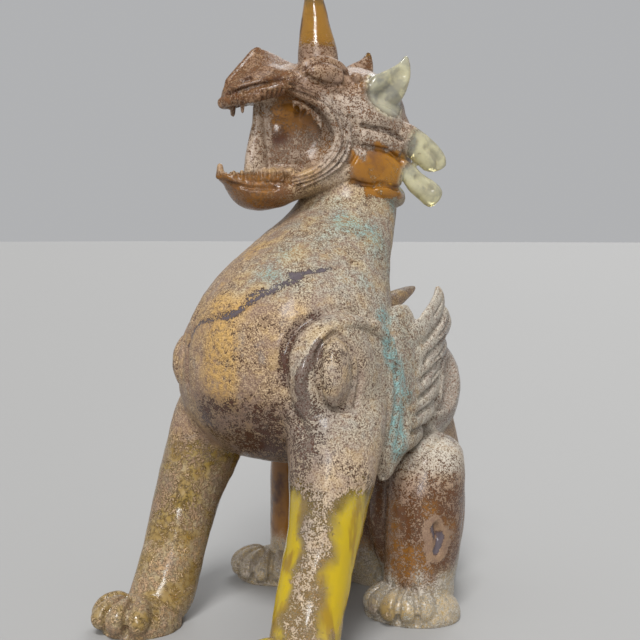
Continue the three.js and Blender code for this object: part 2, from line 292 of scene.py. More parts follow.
# %% Chest, neck, back and seat
chest = swept(
    "chest",
    [
        (BODY_X, 6, 62, 22, 22),
        (BODY_X, 2, 69, 35, 32),
        (BODY_X, -2, 80, 41.5, 38),
        (BODY_X, -5, 93, 43.5, 40),
        (BODY_X, -4, 108, 42.5, 40.5),
        (BODY_X, -1, 123, 38, 39),
        (BODY_X, 6, NECK_FOOT_Z, 33, 34.5),
        (HEAD_X, 19.5, 150, 26.5, 28),
        (HEAD_X, 32.5, 163, 20.5, 21.5),
        (HEAD_X, 36, 173, 19, 19.5),
        (HEAD_X, 36, 190, 15, 16),
    ],
    sides=48,
    rings=48,
    ends=0.06,
)
trunk = swept(
    "trunk",
    [
        (BODY_X, -10, 96, 28, 22),
        (BODY_X, 12, 95, 35, 29),
        (BODY_X + 1, 32, 93, 33, 30),
        (RUMP_X - 1, 50, 88, 30, 30),
        (RUMP_X, 68, 80, 28, 30),
        (RUMP_X, 90, 70, 17, 20),
    ],
    sides=40,
    across=SIDEWAYS,
    ends=0.18,
)
seat = swept(
    "seat",
    [
        (RUMP_X, 67, -14, 25, 20),
        (RUMP_X, 67, 10, 29, 24),
        (RUMP_X, 68, 34, 31, 27),
        (RUMP_X, 66, 62, 28, 27),
        (RUMP_X, 60, 90, 24, 22),
    ],
    sides=40,
    ends=0.12,
)
haunches = [
    ball("hip", (RUMP_X + 17, 53, 87), (20, 21, 24)),
    ball("hip", (RUMP_X - 20, 60, 86), (20, 22, 24)),
    ball("thigh", (RUMP_X + 19, 50, 40), (16, 25, 37)),
    ball("thigh", (RUMP_X - 22, 58, 40), (16, 25, 37)),
]
print("trunk masses:", 3 + len(haunches))

# %% Legs, from the foot up
FRONT_LEFT = [
    (42, -51.5, -4, 13.5, 14.5),
    (41.5, -47.5, 10, 12.2, 13),
    (40.5, -40, 30, 12.6, 13.5),
    (40, -33, 48, 13.2, 14.2),
    (38.5, -27, 64, 15.5, 16.5),
    (34, -18, 82, 17, 21),
    (30, -10, 100, 14, 20),
]
FRONT_RIGHT = [
    (-37, -44, -4, 14, 15),
    (-37, -37, 10, 12.8, 13.8),
    (-37.5, -30, 26, 12.4, 13.4),
    (-37.5, -22.5, 44, 13, 14.4),
    (-36.5, -15, 60, 15, 17),
    (-32, -9, 82, 15, 20),
    (-28, -5, 100, 13, 18),
]
HIND_LEFT = [
    (40, 29, -5, 14, 16.5),
    (40, 29.5, 12, 13.8, 16),
    (41, 31, 30, 14.5, 17),
    (41, 32.5, 48, 15, 17.5),
    (40, 36, 62, 14.5, 16.5),
    (38, 40, 71.5, 12, 13),
]
HIND_RIGHT = [
    (-33, 46, -5, 14, 16),
    (-32.5, 47, 12, 13.5, 15.5),
    (-33, 50, 30, 15, 17),
    (-33, 51, 48, 15.5, 17.5),
    (-31, 54, 62, 15, 16.5),
    (-28, 57, 71, 12.5, 13.5),
]
legs = [swept("leg", leg, ends=0.16) for leg in (FRONT_LEFT, FRONT_RIGHT, HIND_LEFT, HIND_RIGHT)]
print("legs:", len(legs))

# %% Shoulders, then one soft body
FAR_WING_INSET = 3.5
FAR_WING_BACK = 4


def wing_side(side):
    """How the near side's wing measures read on a side: 1 is the animal's left, -1 its right."""
    inset = 0 if side > 0 else FAR_WING_INSET
    back = 0 if side > 0 else FAR_WING_BACK
    return lambda x, y, z: (BODY_X + side * (x - BODY_X - inset), y + back, z)


shoulders = [ball("shoulder", wing_side(side)(29, -15, 97), (16.5, 25, 29)) for side in (1, -1)]
body = melted("body", [chest, trunk, seat, *haunches, *legs, *shoulders], grain=1.3, passes=14)

# %% [markdown]
# ## Head
#
# The head is thrown up and turned to the animal's left with the jaws wide open. Skull and jaws are
# three balls and two upright-cut tubes, with a four-sided wedge for the nose. The mouth is then
# hollowed out as a carver would do it, with one gape in front and a pocket in each cheek, which
# leaves a wall of glass between the pockets.

# %% Skull and jaws
skull = [
    ball("skull", head_point(0, 0, 198), (19.5, 25, 21.6), -HEAD_TURN),
    ball("nape", head_point(-13, 0, 188), (16.5, 15, 21), -HEAD_TURN),
    ball("cheeks", head_point(9, 0, 179), (18, 14, 15), -HEAD_TURN),
]
upper_jaw = swept(
    "upper jaw",
    head_sections(
        [
            (8, 211, 17.5, 12),
            (22, 211, 15.5, 9),
            (31, 210.5, 13, 7.2),
            (40, 211, 10.5, 8),
            (46, 209.2, 9, 6.2),
            (51.5, 207, 7.5, 3.8),
            (54.5, 204.6, 5.5, 1.8),
        ]
    ),
    across=HEAD_LEFT,
    plumb=True,
    ends=0.03,
)
nose = swept(
    "nose",
    head_sections(
        [
            (24, 210, 12, 9.4),
            (39.8, 210, 12, 15),
            (47, 208.5, 10, 9.6),
            (53.2, 206.5, 7, 4.6),
        ]
    ),
    sides=4,
    across=HEAD_LEFT,
    plumb=True,
    ends=0.02,
)
lower_jaw = swept(
    "lower jaw",
    head_sections(
        [
            (8, 174.5, 16.5, 7),
            (22, 171, 15.5, 5.6),
            (33, 168, 13.5, 6.6),
            (42, 167.5, 11, 7),
            (49, 169.2, 8.5, 5.2),
            (53, 172.4, 6.5, 2.8),
            (56.5, 174.4, 4, 1.5),
        ]
    ),
    across=HEAD_LEFT,
    plumb=True,
    ends=0.04,
)
head = melted("head", [*skull, upper_jaw, nose, lower_jaw], grain=0.8, passes=2)

# %% Hollow of the mouth
mouth_middle = (MOUTH_FLOOR_Z + MOUTH_ROOF_Z) / 2
mouth_half = (MOUTH_ROOF_Z - MOUTH_FLOOR_Z) / 2
gape = swept(
    "gape",
    head_sections(
        [
            (32, mouth_middle, 22, mouth_half),
            (40, mouth_middle, 24, mouth_half),
            (52, mouth_middle, 25, mouth_half),
            (66, mouth_middle, 26, mouth_half),
        ]
    ),
    across=HEAD_LEFT,
    ends=0.2,
)
pockets = [
    ball("pocket", head_point(27.5, side * 16, mouth_middle), (12, 16, mouth_half + 0.5), -HEAD_TURN)
    for side in (1, -1)
]
hollow = melted("mouth hollow", [gape, *pockets], grain=0.9, passes=2)
apply_modifier(head, "BOOLEAN", operation="DIFFERENCE", solver="MANIFOLD", object=hollow)
bpy.data.objects.remove(hollow)
core = ball("mouth core", head_point(22, 0, 190), (6, 15.5, 17), -HEAD_TURN)
palate = ball("palate", head_point(27.5, 0, 200), (6, 11, 7), -HEAD_TURN)
print("head after hollowing:", len(head.data.vertices), "points")

# %% [markdown]
# ## The parts that stand out from the masses
#
# Lips, eyes, ears, mane, wings and toes sit on the soft masses with a crisper edge. Each is made
# once as a function and placed for both sides or for all four feet.


# %% Lips
LIP_INNER = [
    (32, 13.0, 206.7),
    (25, 15.0, 204.6),
    (17.5, 16.8, 200.8),
    (14.1, 17.6, 194.2),
    (13.4, 17.6, 188),
    (17.5, 16.8, 180.6),
    (25.6, 15.0, 174.3),
    (36, 12.8, 172.2),
]
LIP_OUTER = [
    (33.6, 13.2, 212.9),
    (26.4, 15.4, 210.1),
    (18.4, 17.0, 206),
    (10.9, 18.4, 199),
    (7.2, 18.8, 190.6),
    (8.8, 18.4, 181.9),
    (15.7, 16.8, 174.4),
    (27, 14.6, 168.8),
]


def lip_line(share, side, left=0.0):
    """A line round the corner of the mouth: share 0 on the inner edge of the lip, 1 on the outer."""
    path = (1 - share) * np.array(LIP_INNER) + share * np.array(LIP_OUTER)
    return [head_point(f, side * (out + left), z) for f, out, z in path]


def lips(side):
    """The broad lip that curls round the corner of the mouth, and the lip band of the muzzle."""
    bed = rod(
        "lip bed",
        lip_line(0.5, side, -1.6),
        [2.4, 2.8, 3.0, 3.1, 3.1, 3.1, 3.0, 2.6],
        flat=1.35,
        across=HEAD_LEFT,
        rings=70,
        ends=0.05,
    )
    band_path = [
        (55.4, 0.8, 202.2),
        (52.5, 4.8, 203),
        (46.5, 8.6, 204.2),
        (39.5, 11.4, 206.2),
        (34, 12.8, 208.2),
    ]
    radii = [1.3, 1.6, 1.8, 1.9, 2.0]
    path = on_head(band_path, side)
    muzzle = rod("lip band", path, radii, flat=1.45, across=HEAD_LEFT, rings=40, ends=0.05)
    return [bed, muzzle, ball("lip knob", head_point(32.4, side * 13.4, 209.6), (2.6, 2.6, 2.8))]


print("points along the edge of the lip:", len(LIP_INNER))

# %% Eyes, ears and the mane over the cheek
EYE_FORWARD = 18.4
EYE_Z = 214.2
EAR_ACROSS = (0.485, 0.875, 0)
RIGHT_EAR_PERK = 6.5


def eye(side):
    """A long bulging eye, half closed, under its brow ridge."""
    brow = [(28.6, 11, 215), (23.9, 12.2, 218), (16.6, 12.4, 219.8), (10, 12, 218.2), (5.6, 12, 215)]
    return [
        ball("eye", head_point(EYE_FORWARD, side * 12.4, EYE_Z), (5.8, 8.6, 5.2), -HEAD_TURN),
        rod("brow", on_head(brow, side), [1.2, 1.7, 1.8, 1.5, 0.9], across=HEAD_LEFT, rings=40, ends=0.1),
    ]


def ear(side):
    """A leaf-shaped ear that curves up to a point, the right one held higher."""
    perk = 0 if side > 0 else RIGHT_EAR_PERK
    leaf = [(-3.5, 12.5, 204), (-8, 15, 207.4), (-13.2, 16.2, 212.6), (-16.6, 16.6, 218), (-18, 16.8, 223.2)]
    return rod(
        "ear",
        [head_point(f, side * left, z + perk) for f, left, z in leaf],
        [7.4, 8.4, 6.6, 3.6, 0.7],
        flat=0.42,
        across=EAR_ACROSS,
        rings=40,
        ends=0.05,
    )


def cheek_bands(side):
    """Three flat bands of mane that lie over the cheek, and the knobs by the ear's root."""
    rows = [
        ([(5, 17.2, 198.2), (-4, 18.2, 197.8), (-12, 17.4, 195), (-17, 15.4, 192)], [4.2, 5.2, 4.8, 3.4]),
        ([(4, 17.0, 189.8), (-7, 17.6, 188.6), (-16, 15.4, 185.6)], [4.4, 4.6, 4.4]),
        ([(9, 15.6, 178), (2, 17.4, 178.2), (-8, 17.2, 176.4), (-17, 15, 174.4)], [6.2, 7.8, 7.4, 6.4]),
    ]
    made = []
    for (points, radii), flat in zip(rows, (0.55, 0.55, 0.38)):
        path = on_head(points, side)
        made.append(rod("band", path, radii, across=UPRIGHT, flat=flat, rings=40, ends=0.08))
    for f, left, z, size in ((3.4, 14, 213.2, 2.5), (-1.6, 14.2, 212.6, 2.4), (0.6, 15.6, 208.8, 2.7)):
        made.append(ball("knob", head_point(f, side * left, z), (size, size, size)))
    return made


face = []
for side in (1, -1):
    face += [*lips(side), *eye(side), ear(side), *cheek_bands(side)]
print("face pieces:", len(face))


# %% Horn, mane locks and collar
def horn():
    """The single horn, upright over the brow and a little swept forward."""
    rings = [(216, 13.5, 8.8), (226, 14, 7.8), (245, 15.6, 4), (HORN_TIP_Z, 17.5, 1.3)]
    sections = [(*head_point(forward, 0, z), radius, radius) for z, forward, radius in rings]
    return swept("horn", sections, ends=0.04)


def locks(side):
    """Two broad locks of mane behind the cheek, the upper one hooked at its end."""
    upper = [
        (-9, 14.5, 194),
        (-17, 15.8, 191),
        (-25.4, 16.6, 185.6),
        (-31.5, 16.6, 180.2),
        (-32.8, 16, 177.4),
    ]
    lower = [
        (-11, 13.5, 179.5),
        (-18.2, 15, 177.6),
        (-23.4, 16, 172.2),
        (-29.6, 16.2, 167.8),
        (-33.4, 16, 164.6),
    ]
    made = []
    for points, radii in ((upper, [3.2, 3.8, 4.1, 3.7, 2.6]), (lower, [2.2, 2.6, 3.0, 3.5, 2.7])):
        path = on_head(points, side)
        made.append(rod("lock", path, radii, flat=1.5, across=HEAD_LEFT, rings=40, ends=0.1))
    return made


COLLAR_RADIUS = 19
COLLAR_Z = 169.4


def collar():
    """The rolled collar where the head meets the neck, lower at the back."""
    turns = np.linspace(-0.83, 0.83, 11) * math.pi + math.pi / 2 + 0.5
    points = []
    for turn in turns:
        right = COLLAR_RADIUS * math.cos(turn)
        back = COLLAR_RADIUS * math.sin(turn)
        forward = COLLAR_RADIUS * math.sin(-turn - HEAD_TURN)
        points.append((HEAD_X + right, HEAD_Y + 2 + back, COLLAR_Z + 0.19 * forward))
    return rod("collar", points, [3.4] * len(points), across=UPRIGHT, rings=60, ends=0.06)


print("horn tip at", HORN_TIP_Z, "mm")


# %% Tongue and teeth
def tongue():
    """The tongue rises from the floor of the mouth almost to the roof, with a rim along its back."""
    blade = swept(
        "tongue",
        head_sections(
            [
                (40, 168, 5, 8),
                (40.4, 179, 3.8, 6.2),
                (40.2, 187, 3.2, 4.8),
                (39.8, 195, 2.4, 3.2),
                (40.2, 203.5, 1.8, 1.9),
            ]
        ),
        ends=0.08,
    )
    rim_path = [(34.6, 0.8, 176), (35.2, 0.8, 184), (36.4, 0.8, 192), (37.6, 0.8, 198.6), (38.8, 0.8, 203)]
    rim = rod("tongue rim", on_head(rim_path), [1.1] * len(rim_path), across=HEAD_LEFT)
    curl = ball("tongue curl", head_point(36.6, 0.5, 201.4), (2.2, 2.2, 2.4))
    return [blade, rim, curl, ball("tongue root", head_point(27, 0, 174), (8, 14, 5), -HEAD_TURN)]


def tooth(foot, radius, height):
    """A small cone standing on a point, or hanging from it, its edge and tip worn round."""
    x, y, z = foot
    return swept(
        "tooth",
        [(x, y, z, radius, radius), (x, y, z + height, radius * 0.6, radius * 0.6)],
        sides=10,
        rings=10,
        ends=0.2,
    )


LOWER_TEETH = 7
BACK_TEETH = 4
INNER_TEETH = 6
teeth = [tooth(head_point(56, 0, 172.5), 2.0, 6.6)]
for side in (1, -1):
    teeth.append(tooth(head_point(48.5, side * 5.5, 203.5), 1.3, -5.6))
    for i in range(LOWER_TEETH):
        teeth.append(tooth(head_point(52 - 2.9 * i, side * (4.8 + 1.1 * i), 171.5), 1.55, 4.8))
    for i in range(BACK_TEETH):
        teeth.append(ball("back tooth", head_point(40 - 3.2 * i, side * (7 + i), 175), (2.1, 2.1, 2.6)))
    gum = [(30.5, 11.5, 203.4), (25, 12.2, 201.2), (20.5, 12.8, 198), (18, 13, 195)]
    gum_points = on_head(gum, side)
    teeth.append(rod("gum", gum_points, [0.9, 1.1, 1.1, 0.9], across=HEAD_LEFT))
    for foot in smooth_path(gum_points, np.linspace(0.06, 0.94, INNER_TEETH)):
        teeth.append(tooth(foot, 0.8, -3.2))
face += [horn(), ball("horn root", head_point(13, 0, 215), (11, 11, 6.5)), collar(), *tongue(), *teeth]
for side in (1, -1):
    face += locks(side)
print("teeth and gums:", len(teeth))


# %% Paws: x, y, width, length, number of toes and turn of each
TOE_FAN = math.radians(92)
PAWS = [
    (43, -55, 34, 36, 4, 0.1),
    (-36, -50, 32, 34, 4, -0.1),
    (39.5, 25.5, 42, 36, 5, 0.05),
    (-37, 35, 38, 38, 5, -0.1),
]


def toe_path(paw_sizes, place, steps):
    """Points along a toe: place 0 is the innermost toe, halves lie between two toes."""
    x, y, width, length, toes, turn = paw_sizes
    off_middle = place / (toes - 1) - 0.5
    angle = turn + TOE_FAN * off_middle
    reach = length * 0.5 - 3 * abs(off_middle)
    ahead = np.array([math.sin(angle), -math.cos(angle)])
    return [(*(np.array([x, y]) + ahead * (share * reach + extra)), height) for share, extra, height in steps]


def toe_gaps(steps):
    """Lines between neighbouring toes, on all four paws."""
    return [toe_path(sizes, i + 0.5, steps) for sizes in PAWS for i in range(sizes[4] - 1)]


def paw(paw_sizes):
    """A low pad with a fan of rounded toes."""
    x, y, width, length, toes, turn = paw_sizes
    made = [ball("pad", (x, y, 2), (width / 2 - 1, length / 2 - 1, 11), turn)]
    radius = width / toes * 0.6
    for i in range(toes):
        path = toe_path(paw_sizes, i, ((0.25, 0, 10), (0.75, 0, 8.4), (1, 2.6, 3.4)))
        angle = turn + TOE_FAN * (i / (toes - 1) - 0.5)
        across = (math.cos(angle), math.sin(angle), 0)
        radii = [radius, radius * 1.04, radius * 0.85]
        made.append(rod("toe", path, radii, across=across, rings=16, ends=0.3))
    return made


paws = [piece for paw_sizes in PAWS for piece in paw(paw_sizes)]
print("paw pieces:", len(paws))

# %% Feathers. Each is its root and tip, along and up, and half its width at both
FEATHER_THICK = 3.8
FEATHERS = [
    ((20, 109), (53.6, 126.6), 5.0, 5.2),
    ((20, 101), (58.0, 117.6), 4.4, 5.4),
    ((18, 94.5), (53.4, 106.8), 4.0, 4.5),
    ((16, 88.5), (47.6, 97.6), 3.8, 4.0),
    ((14, 82.5), (46, 90), 3.7, 3.6),
    ((11, 77), (41.5, 81.8), 3.6, 3.4),
    ((6, 71), (31, 73), 4.2, 3.2),
]
print("feathers on a wing:", len(FEATHERS))


# %% One wing
def wing(side):
    """Comma boss, raised rim, wing shield and the fan of feathers of one side."""
    at = wing_side(side)
    far_inset = 0 if side > 0 else FAR_WING_INSET
    outward = (side, 0, 0)
    boss = ball("boss", at(39 - far_inset, -26, 101), (6, 11.5, 13), side * 0.45)
    rim = rod(
        "rim",
        [
            at(33, -36, 88),
            at(32.5, -37.5, 102),
            at(35, -28.5, 115),
            at(39, -12, 119),
            at(41.5, 2, 112),
            at(42.5, 6, 96),
        ],
        [2, 3, 3.2, 3.2, 3.4, 2.6],
        across=outward,
        rings=50,
        ends=0.12,
    )
    shield = swept(
        "shield",
        [
            (*at(40.5, 3, 57.5), 1.4, 1.4),
            (*at(40.5, 5, 62.5), 2.8, 7),
            (*at(40.5, 6.5, 68), 3.8, 13),
            (*at(40, 8, 75), 5, 18),
            (*at(38.5, 10, 92), 6.2, 23),
            (*at(37, 15, 108), 6, 18),
            (*at(36, 19, 119), 4, 11),
            (*at(36, 21, 124), 1.5, 4),
        ],
        ends=0.03,
    )
    made = [boss, rim, shield]
    for i, (root, tip, root_half, tip_half) in enumerate(FEATHERS):
        down = i / (len(FEATHERS) - 1)
        run, rise = tip[0] - root[0], tip[1] - root[1]
        outside = 41.0 + 0.6 * i
        lean = 35.0 + 4 * down
        path = [
            at(outside, *root),
            at(outside - 0.8, root[0] + 0.4 * run, root[1] + 0.38 * rise),
            at((outside + lean) / 2, root[0] + 0.75 * run, root[1] + 0.74 * rise),
            at(lean, *tip),
        ]
        radii = np.linspace(root_half, tip_half, len(path))
        sections = [(*point, radius, FEATHER_THICK / 2) for point, radius in zip(path, radii)]
        made.append(swept("feather", sections, sides=20, rings=40, across=(0, -rise, run), ends=0.07))
    return made


# %% Lines between feathers and the hollow behind the wing
FEATHER_OUTSIDE = 47
FEATHER_INWARD = 6


def over_feathers(at, start, run, share):
    """A point just outside the feathers, at a share of a run along and up from the start."""
    return at(FEATHER_OUTSIDE - FEATHER_INWARD * share, *(start + share * run))


def feather_gaps(side, shares):
    """Lines between neighbouring feathers, through points at these shares of the way out."""
    at = wing_side(side)
    lines = []
    for (root, tip, *_), (next_root, next_tip, *_) in zip(FEATHERS[:-1], FEATHERS[1:]):
        start = (np.array(root) + np.array(next_root)) / 2
        end = (np.array(tip) + np.array(next_tip)) / 2
        lines.append([over_feathers(at, start, end - start, share) for share in shares])
    return lines


def wing_shadow(side):
    """The hollow behind the wing's rear edge, which sets the feathers off from the haunch."""
    at = wing_side(side)
    edge = [(62, 108), (57.5, 101), (54.5, 95), (52.6, 88), (49.5, 82), (46, 78)]
    points = [at(42.6, along, height) for along, height in edge]
    return rod("wing shadow", points, [4, 5.2, 5.8, 5.6, 4.4, 3], across=SIDEWAYS, rings=60, ends=0.08)


print("gap lines on a wing:", len(feather_gaps(1, (0.5,))))

# %% Tail, and all the wings
tail = [
    rod(
        "tail",
        [
            (RUMP_X + 1, 86, 22),
            (RUMP_X + 1, 93, 46),
            (RUMP_X, 90, 76),
            (RUMP_X, 78, 98),
            (RUMP_X - 1, 66, 112),
        ],
        [6.5, 8, 8.5, 8, 5],
        flat=0.75,
        ends=0.12,
    ),
    rod(
        "tuft",
        [(RUMP_X - 2, 52, 117), (RUMP_X - 2, 66, 122), (RUMP_X - 2, 85, 127.5)],
        [5, 4.4, 1.4],
        ends=0.12,
    ),
]
wings = [*wing(1), *wing(-1)]
print("wing pieces:", len(wings), "tail pieces:", len(tail))

# %% [markdown]
# ## One casting
#
# Glass shows its inside, so a joint between two pieces would show too: all pieces have to become a
# single closed skin. Head, wings and paws are melted with a finer grain than the body, because
# teeth and toes are small, and Boolean unions join the three. The figure stands flat on its feet.

# %% Melt the pieces into one skin
HEAD_GRAIN = 0.5
TRIM_GRAIN = 0.6
BODY_GRAIN = 1.0
head_skin = melted("head_skin", [head, core, palate, *face], HEAD_GRAIN, passes=2)
trim_skin = melted("trim_skin", [*paws, *wings, *tail], TRIM_GRAIN, passes=3)
hollows = melted("wing hollows", [wing_shadow(1), wing_shadow(-1)], grain=1.0, passes=1)
apply_modifier(body, "BOOLEAN", operation="DIFFERENCE", solver="MANIFOLD", object=hollows)
bpy.data.objects.remove(hollows)
lion = melted("lion_skin", [body], BODY_GRAIN, passes=3)
for skin in (trim_skin, head_skin):
    apply_modifier(lion, "BOOLEAN", operation="UNION", solver="MANIFOLD", object=skin)
    bpy.data.objects.remove(skin)
print("one skin:", len(lion.data.vertices), "points")

# %% [markdown]
# ## Carving
#
# The fine work was cut into the model: the comma on the shoulder, the hollows of ears and curls,
# the grooves along the lips, and the long crack where crust has fallen away. Sculpting by hand
# would use a draw brush along each line. The code does the same: it drops a line on the
# skin, and `carve` moves the points under it in or out.


# %% Lines dropped on the skin
def dropped_path(piece, knots, steps=40):
    """A smooth line through the knots, dropped on the skin of the piece."""
    path = smooth_path(knots, np.linspace(0, 1, steps))
    landed = []
    for point in placed(path):
        _, place, _, _ = piece.closest_point_on_mesh(point.tolist())
        landed.append(np.array(place) / MM + DRAWING_MIDDLE)
    return np.array(landed)


def distance_to(points, path, reach):
    """Distance from each point to a line of points, no farther than the reach."""
    far = np.full(len(points), float(reach))
    low, high = path.min(axis=0) - reach, path.max(axis=0) + reach
    near = np.flatnonzero(np.all((points > low) & (points < high), axis=1))
    close = points[near]
    best = np.full(len(near), float(reach))
    for start, end in zip(path[:-1], path[1:]):
        run = end - start
        share = np.clip((close - start) @ run / max(run @ run, 1e-9), 0, 1)
        gap = np.linalg.norm(close - start - share[:, None] * run, axis=1)
        best = np.minimum(best, gap)
    far[near] = best
    return far


def soft_step(value, low, high):
    """0 below the low value, 1 above the high one, smooth between."""
    t = np.clip((value - low) / (high - low), 0, 1)
    return t * t * (3 - 2 * t)


def soft_noise(points, size, seed):
    """Smooth chance between -1 and 1 that changes over about that many millimetres."""
    scaled = points / size
    cell = np.floor(scaled).astype(np.int64)
    t = scaled - cell
    t = t * t * (3 - 2 * t)
    total = np.zeros(len(points))
    for corner in np.ndindex(2, 2, 2):
        at = cell + np.array(corner)
        mixed = (at[:, 0] * 73856093) ^ (at[:, 1] * 19349663) ^ (at[:, 2] * 83492791) ^ (seed * 2654435761)
        mixed = (mixed ^ (mixed >> 13)) * 1274126177
        chance = ((mixed ^ (mixed >> 16)) & 0xFFFF) / 32767.5 - 1
        weight = np.prod(np.where(np.array(corner) == 1, t, 1 - t), axis=1)
        total += chance * weight
    return total


print("chance at the origin:", soft_noise(np.zeros((1, 3)), 1.0, 0).round(2).tolist())


# %% The brush
HAND_SHAKE = 0.25


def carve(piece, strokes):
    """Cuts strokes of knots, half width and height in mm. A negative height is a groove."""
    points = points_of(piece)
    normals = normals_of(piece)
    moved = np.zeros(len(points))
    unsteady = 1 + HAND_SHAKE * soft_noise(points, 4.0, 31)
    for knots, width, height in strokes:
        gap = distance_to(points, dropped_path(piece, knots), 1.3 * width) * unsteady
        moved += height * (1 - soft_step(gap, 0, width))
    move_points(piece, points + normals * moved[:, None])
    return len(strokes)


print("the hand shakes by", HAND_SHAKE, "of a stroke's width")

# %% Lines on the body
CRACK = [
    (-22.7, -36.7, 108.9),
    (-15.8, -37.4, 116.9),
    (-6, -39.9, 119.4),
    (3.6, -39.7, 122.7),
    (9.2, -34.9, 127.1),
    (14.4, -29.8, 130.7),
    (19.7, -21.7, 136.1),
    (26.4, -12.1, 138.5),
    (31.1, 0.6, 139.8),
]
COMMA_GROOVE = [
    (35.5, -38.8, 80.6),
    (29.1, -38.6, 88.9),
    (26.1, -38.2, 99.3),
    (25.4, -36.1, 109.8),
    (26.7, -32, 116.8),
    (31.3, -26.1, 122),
    (35.6, -15.5, 123.4),
    (41.6, -8, 120.3),
]
DISC_GROOVE = [
    (43.2, -19.2, 107.7),
    (39.3, -25.5, 115.5),
    (37.3, -31.8, 111.9),
    (37.6, -35.2, 103.4),
    (38.7, -33.6, 94.5),
    (42.3, -27.9, 88.4),
    (44.8, -22.7, 89.1),
    (44.3, -19.5, 97),
    (43.2, -19.2, 107.7),
    (39.3, -25.5, 115.5),
]
COMMA_TAIL = [(43.7, -26.7, 88), (47.7, -21.9, 85.7), (50.4, -15.6, 80.7)]
WING_FRONT = [(38.9, 6, 118.7), (44.7, 2.1, 109.8), (45.1, 5.8, 96.3), (45.5, 3.8, 81.4), (44.3, -1.7, 68.8)]
FAR_GROOVE = [(-20.9, -31.8, 124), (-22.9, -35.3, 112.6), (-21.2, -38.4, 103.4), (-19.4, -39.2, 94.5)]
SHIN_PIT = [(53.5, 21.4, 38), (53.5, 22.4, 33.5), (53.5, 21.8, 28.5)]
body_strokes = [
    (CRACK, 3.4, -0.6),
    (COMMA_GROOVE, 3.2, -1.7),
    (DISC_GROOVE, 1.7, -1.5),
    (COMMA_TAIL, 3.0, 0.5),
    (WING_FRONT, 2.4, -0.8),
    (FAR_GROOVE, 3.0, -1.2),
    (SHIN_PIT, 3.2, -1.4),
    (SHIN_PIT[:2], 2.2, -1.2),
]
print("body strokes cut:", carve(lion, body_strokes))

# %% Lines on the head
LIP_NOTCHES = 11
NOTCH_START = np.array([52.6, 5.6, 202.2])
NOTCH_RUN = np.array([-17, 8, 3.4])
LIP_RIDGES = (
    (0.0, 0.9, -0.9),
    (0.2, 0.8, 0.5),
    (0.4, 0.9, -1.1),
    (0.58, 0.8, 0.5),
    (0.76, 0.9, -1.1),
    (0.96, 1.1, 0.8),
    (1.22, 1.4, -1.3),
)
LOWER_LID = [(29.4, 16, 213.4), (24, 16.6, 210.8), (18.4, 17, 209.4), (12, 17, 209.8), (7.2, 16.6, 212)]
UPPER_LID = [(27.4, 15, 215.2), (22, 15, 217.2), (16, 15, 218), (10, 15, 216.6)]
MUZZLE_FOLD = [(54.4, 4.0, 205.6), (47, 9.4, 207.8), (41, 11.6, 209.6), (35, 13, 211.6)]
EAR_HOLLOW = np.array([(-6, 17, 207), (-10.5, 19, 210.6), (-14.4, 19, 215)])
HEAD_LINES = (
    ([(-26, 20, 186), (-31, 20, 181), (-31.5, 20, 178.4)], 2.6, -1.5),
    ([(-22, 20, 174), (-28, 20, 169.4)], 2.4, -1.2),
    (LOWER_LID, 1.4, -1.3),
    (UPPER_LID, 1.1, -1.1),
    ([(49, 6.5, 210.4), (46.4, 8, 211.4)], 1.6, -1.3),
    (MUZZLE_FOLD, 1.7, -1.7),
    ([(54.5, 4.2, 170.6), (47, 9.6, 169.4), (38, 12.6, 169.4)], 1.5, -1.2),
    ([(3, 19, 193.8), (-5.4, 19, 192.9), (-15.6, 17, 189.4)], 1.5, -1.3),
    ([(2, 19, 185.8), (-7.7, 19, 184.4), (-15.6, 17, 181)], 1.5, -1.3),
    ([(7, 18, 171.6), (-3.2, 18, 169.8), (-15, 17, 169.4)], 1.6, -1.2),
)
head_strokes = []
for side in (1, -1):
    ear_perk = 0 if side > 0 else RIGHT_EAR_PERK
    head_strokes.append((on_head(EAR_HOLLOW + (0, 0, ear_perk), side), 4.6, -1.5))
    for knots, width, height in HEAD_LINES:
        head_strokes.append((on_head(knots, side), width, height))
    for share, width, height in LIP_RIDGES:
        head_strokes.append((lip_line(share, side, 2.0), width, height))
    for i in range(LIP_NOTCHES):
        forward, left, height = NOTCH_START + i / (LIP_NOTCHES - 1) * NOTCH_RUN
        notch = [(forward, left, height - 1.4), (forward - 0.4, left, height + 1.8)]
        head_strokes.append((on_head(notch, side), 0.8, -1.0))
head_strokes.append((on_head([(54, 0, 208), (48, 0, 216), (40, 0, 225)]), 1.8, 0.8))
print("head strokes cut:", carve(lion, head_strokes))

# %% Lines between the feathers
feather_strokes = []
for side in (1, -1):
    at = wing_side(side)
    for knots in feather_gaps(side, (0.25, 0.5, 0.8)):
        feather_strokes.append((knots, 1.5, -1.7))
    for root, tip, *_ in FEATHERS[:4]:
        start, run = np.array(root), np.array(tip) - np.array(root)
        knots = [over_feathers(at, start, run, share) for share in (0.55, 0.9)]
        feather_strokes.append((knots, 1.0, -0.8))
    plate_edge = [at(43.5, 0.5, 58.5), at(45, -3.5, 64.5), at(47, -6, 71), at(49, -8, 77)]
    lower_edge = [at(44, 44, 78), at(44, 37.5, 72.5), at(44, 29, 68), at(44, 19, 63), at(43, 10, 59)]
    feather_strokes += [(plate_edge, 1.8, -1.2), (lower_edge, 2.2, -1.6)]
print("feather strokes cut:", carve(lion, feather_strokes))

# %% Lines between the toes
toe_lines = toe_gaps(((0.35, 0, 13), (0.7, 0, 10), (0.92, 0, 6), (1, 0, 2)))
toe_strokes = [(knots, 1.8, -1.8) for knots in toe_lines]
print("toe strokes cut:", carve(lion, toe_strokes))

# %% Weathered lumps and the flat underside
LUMPS = ((9.0, 0.28), (3.2, 0.16))


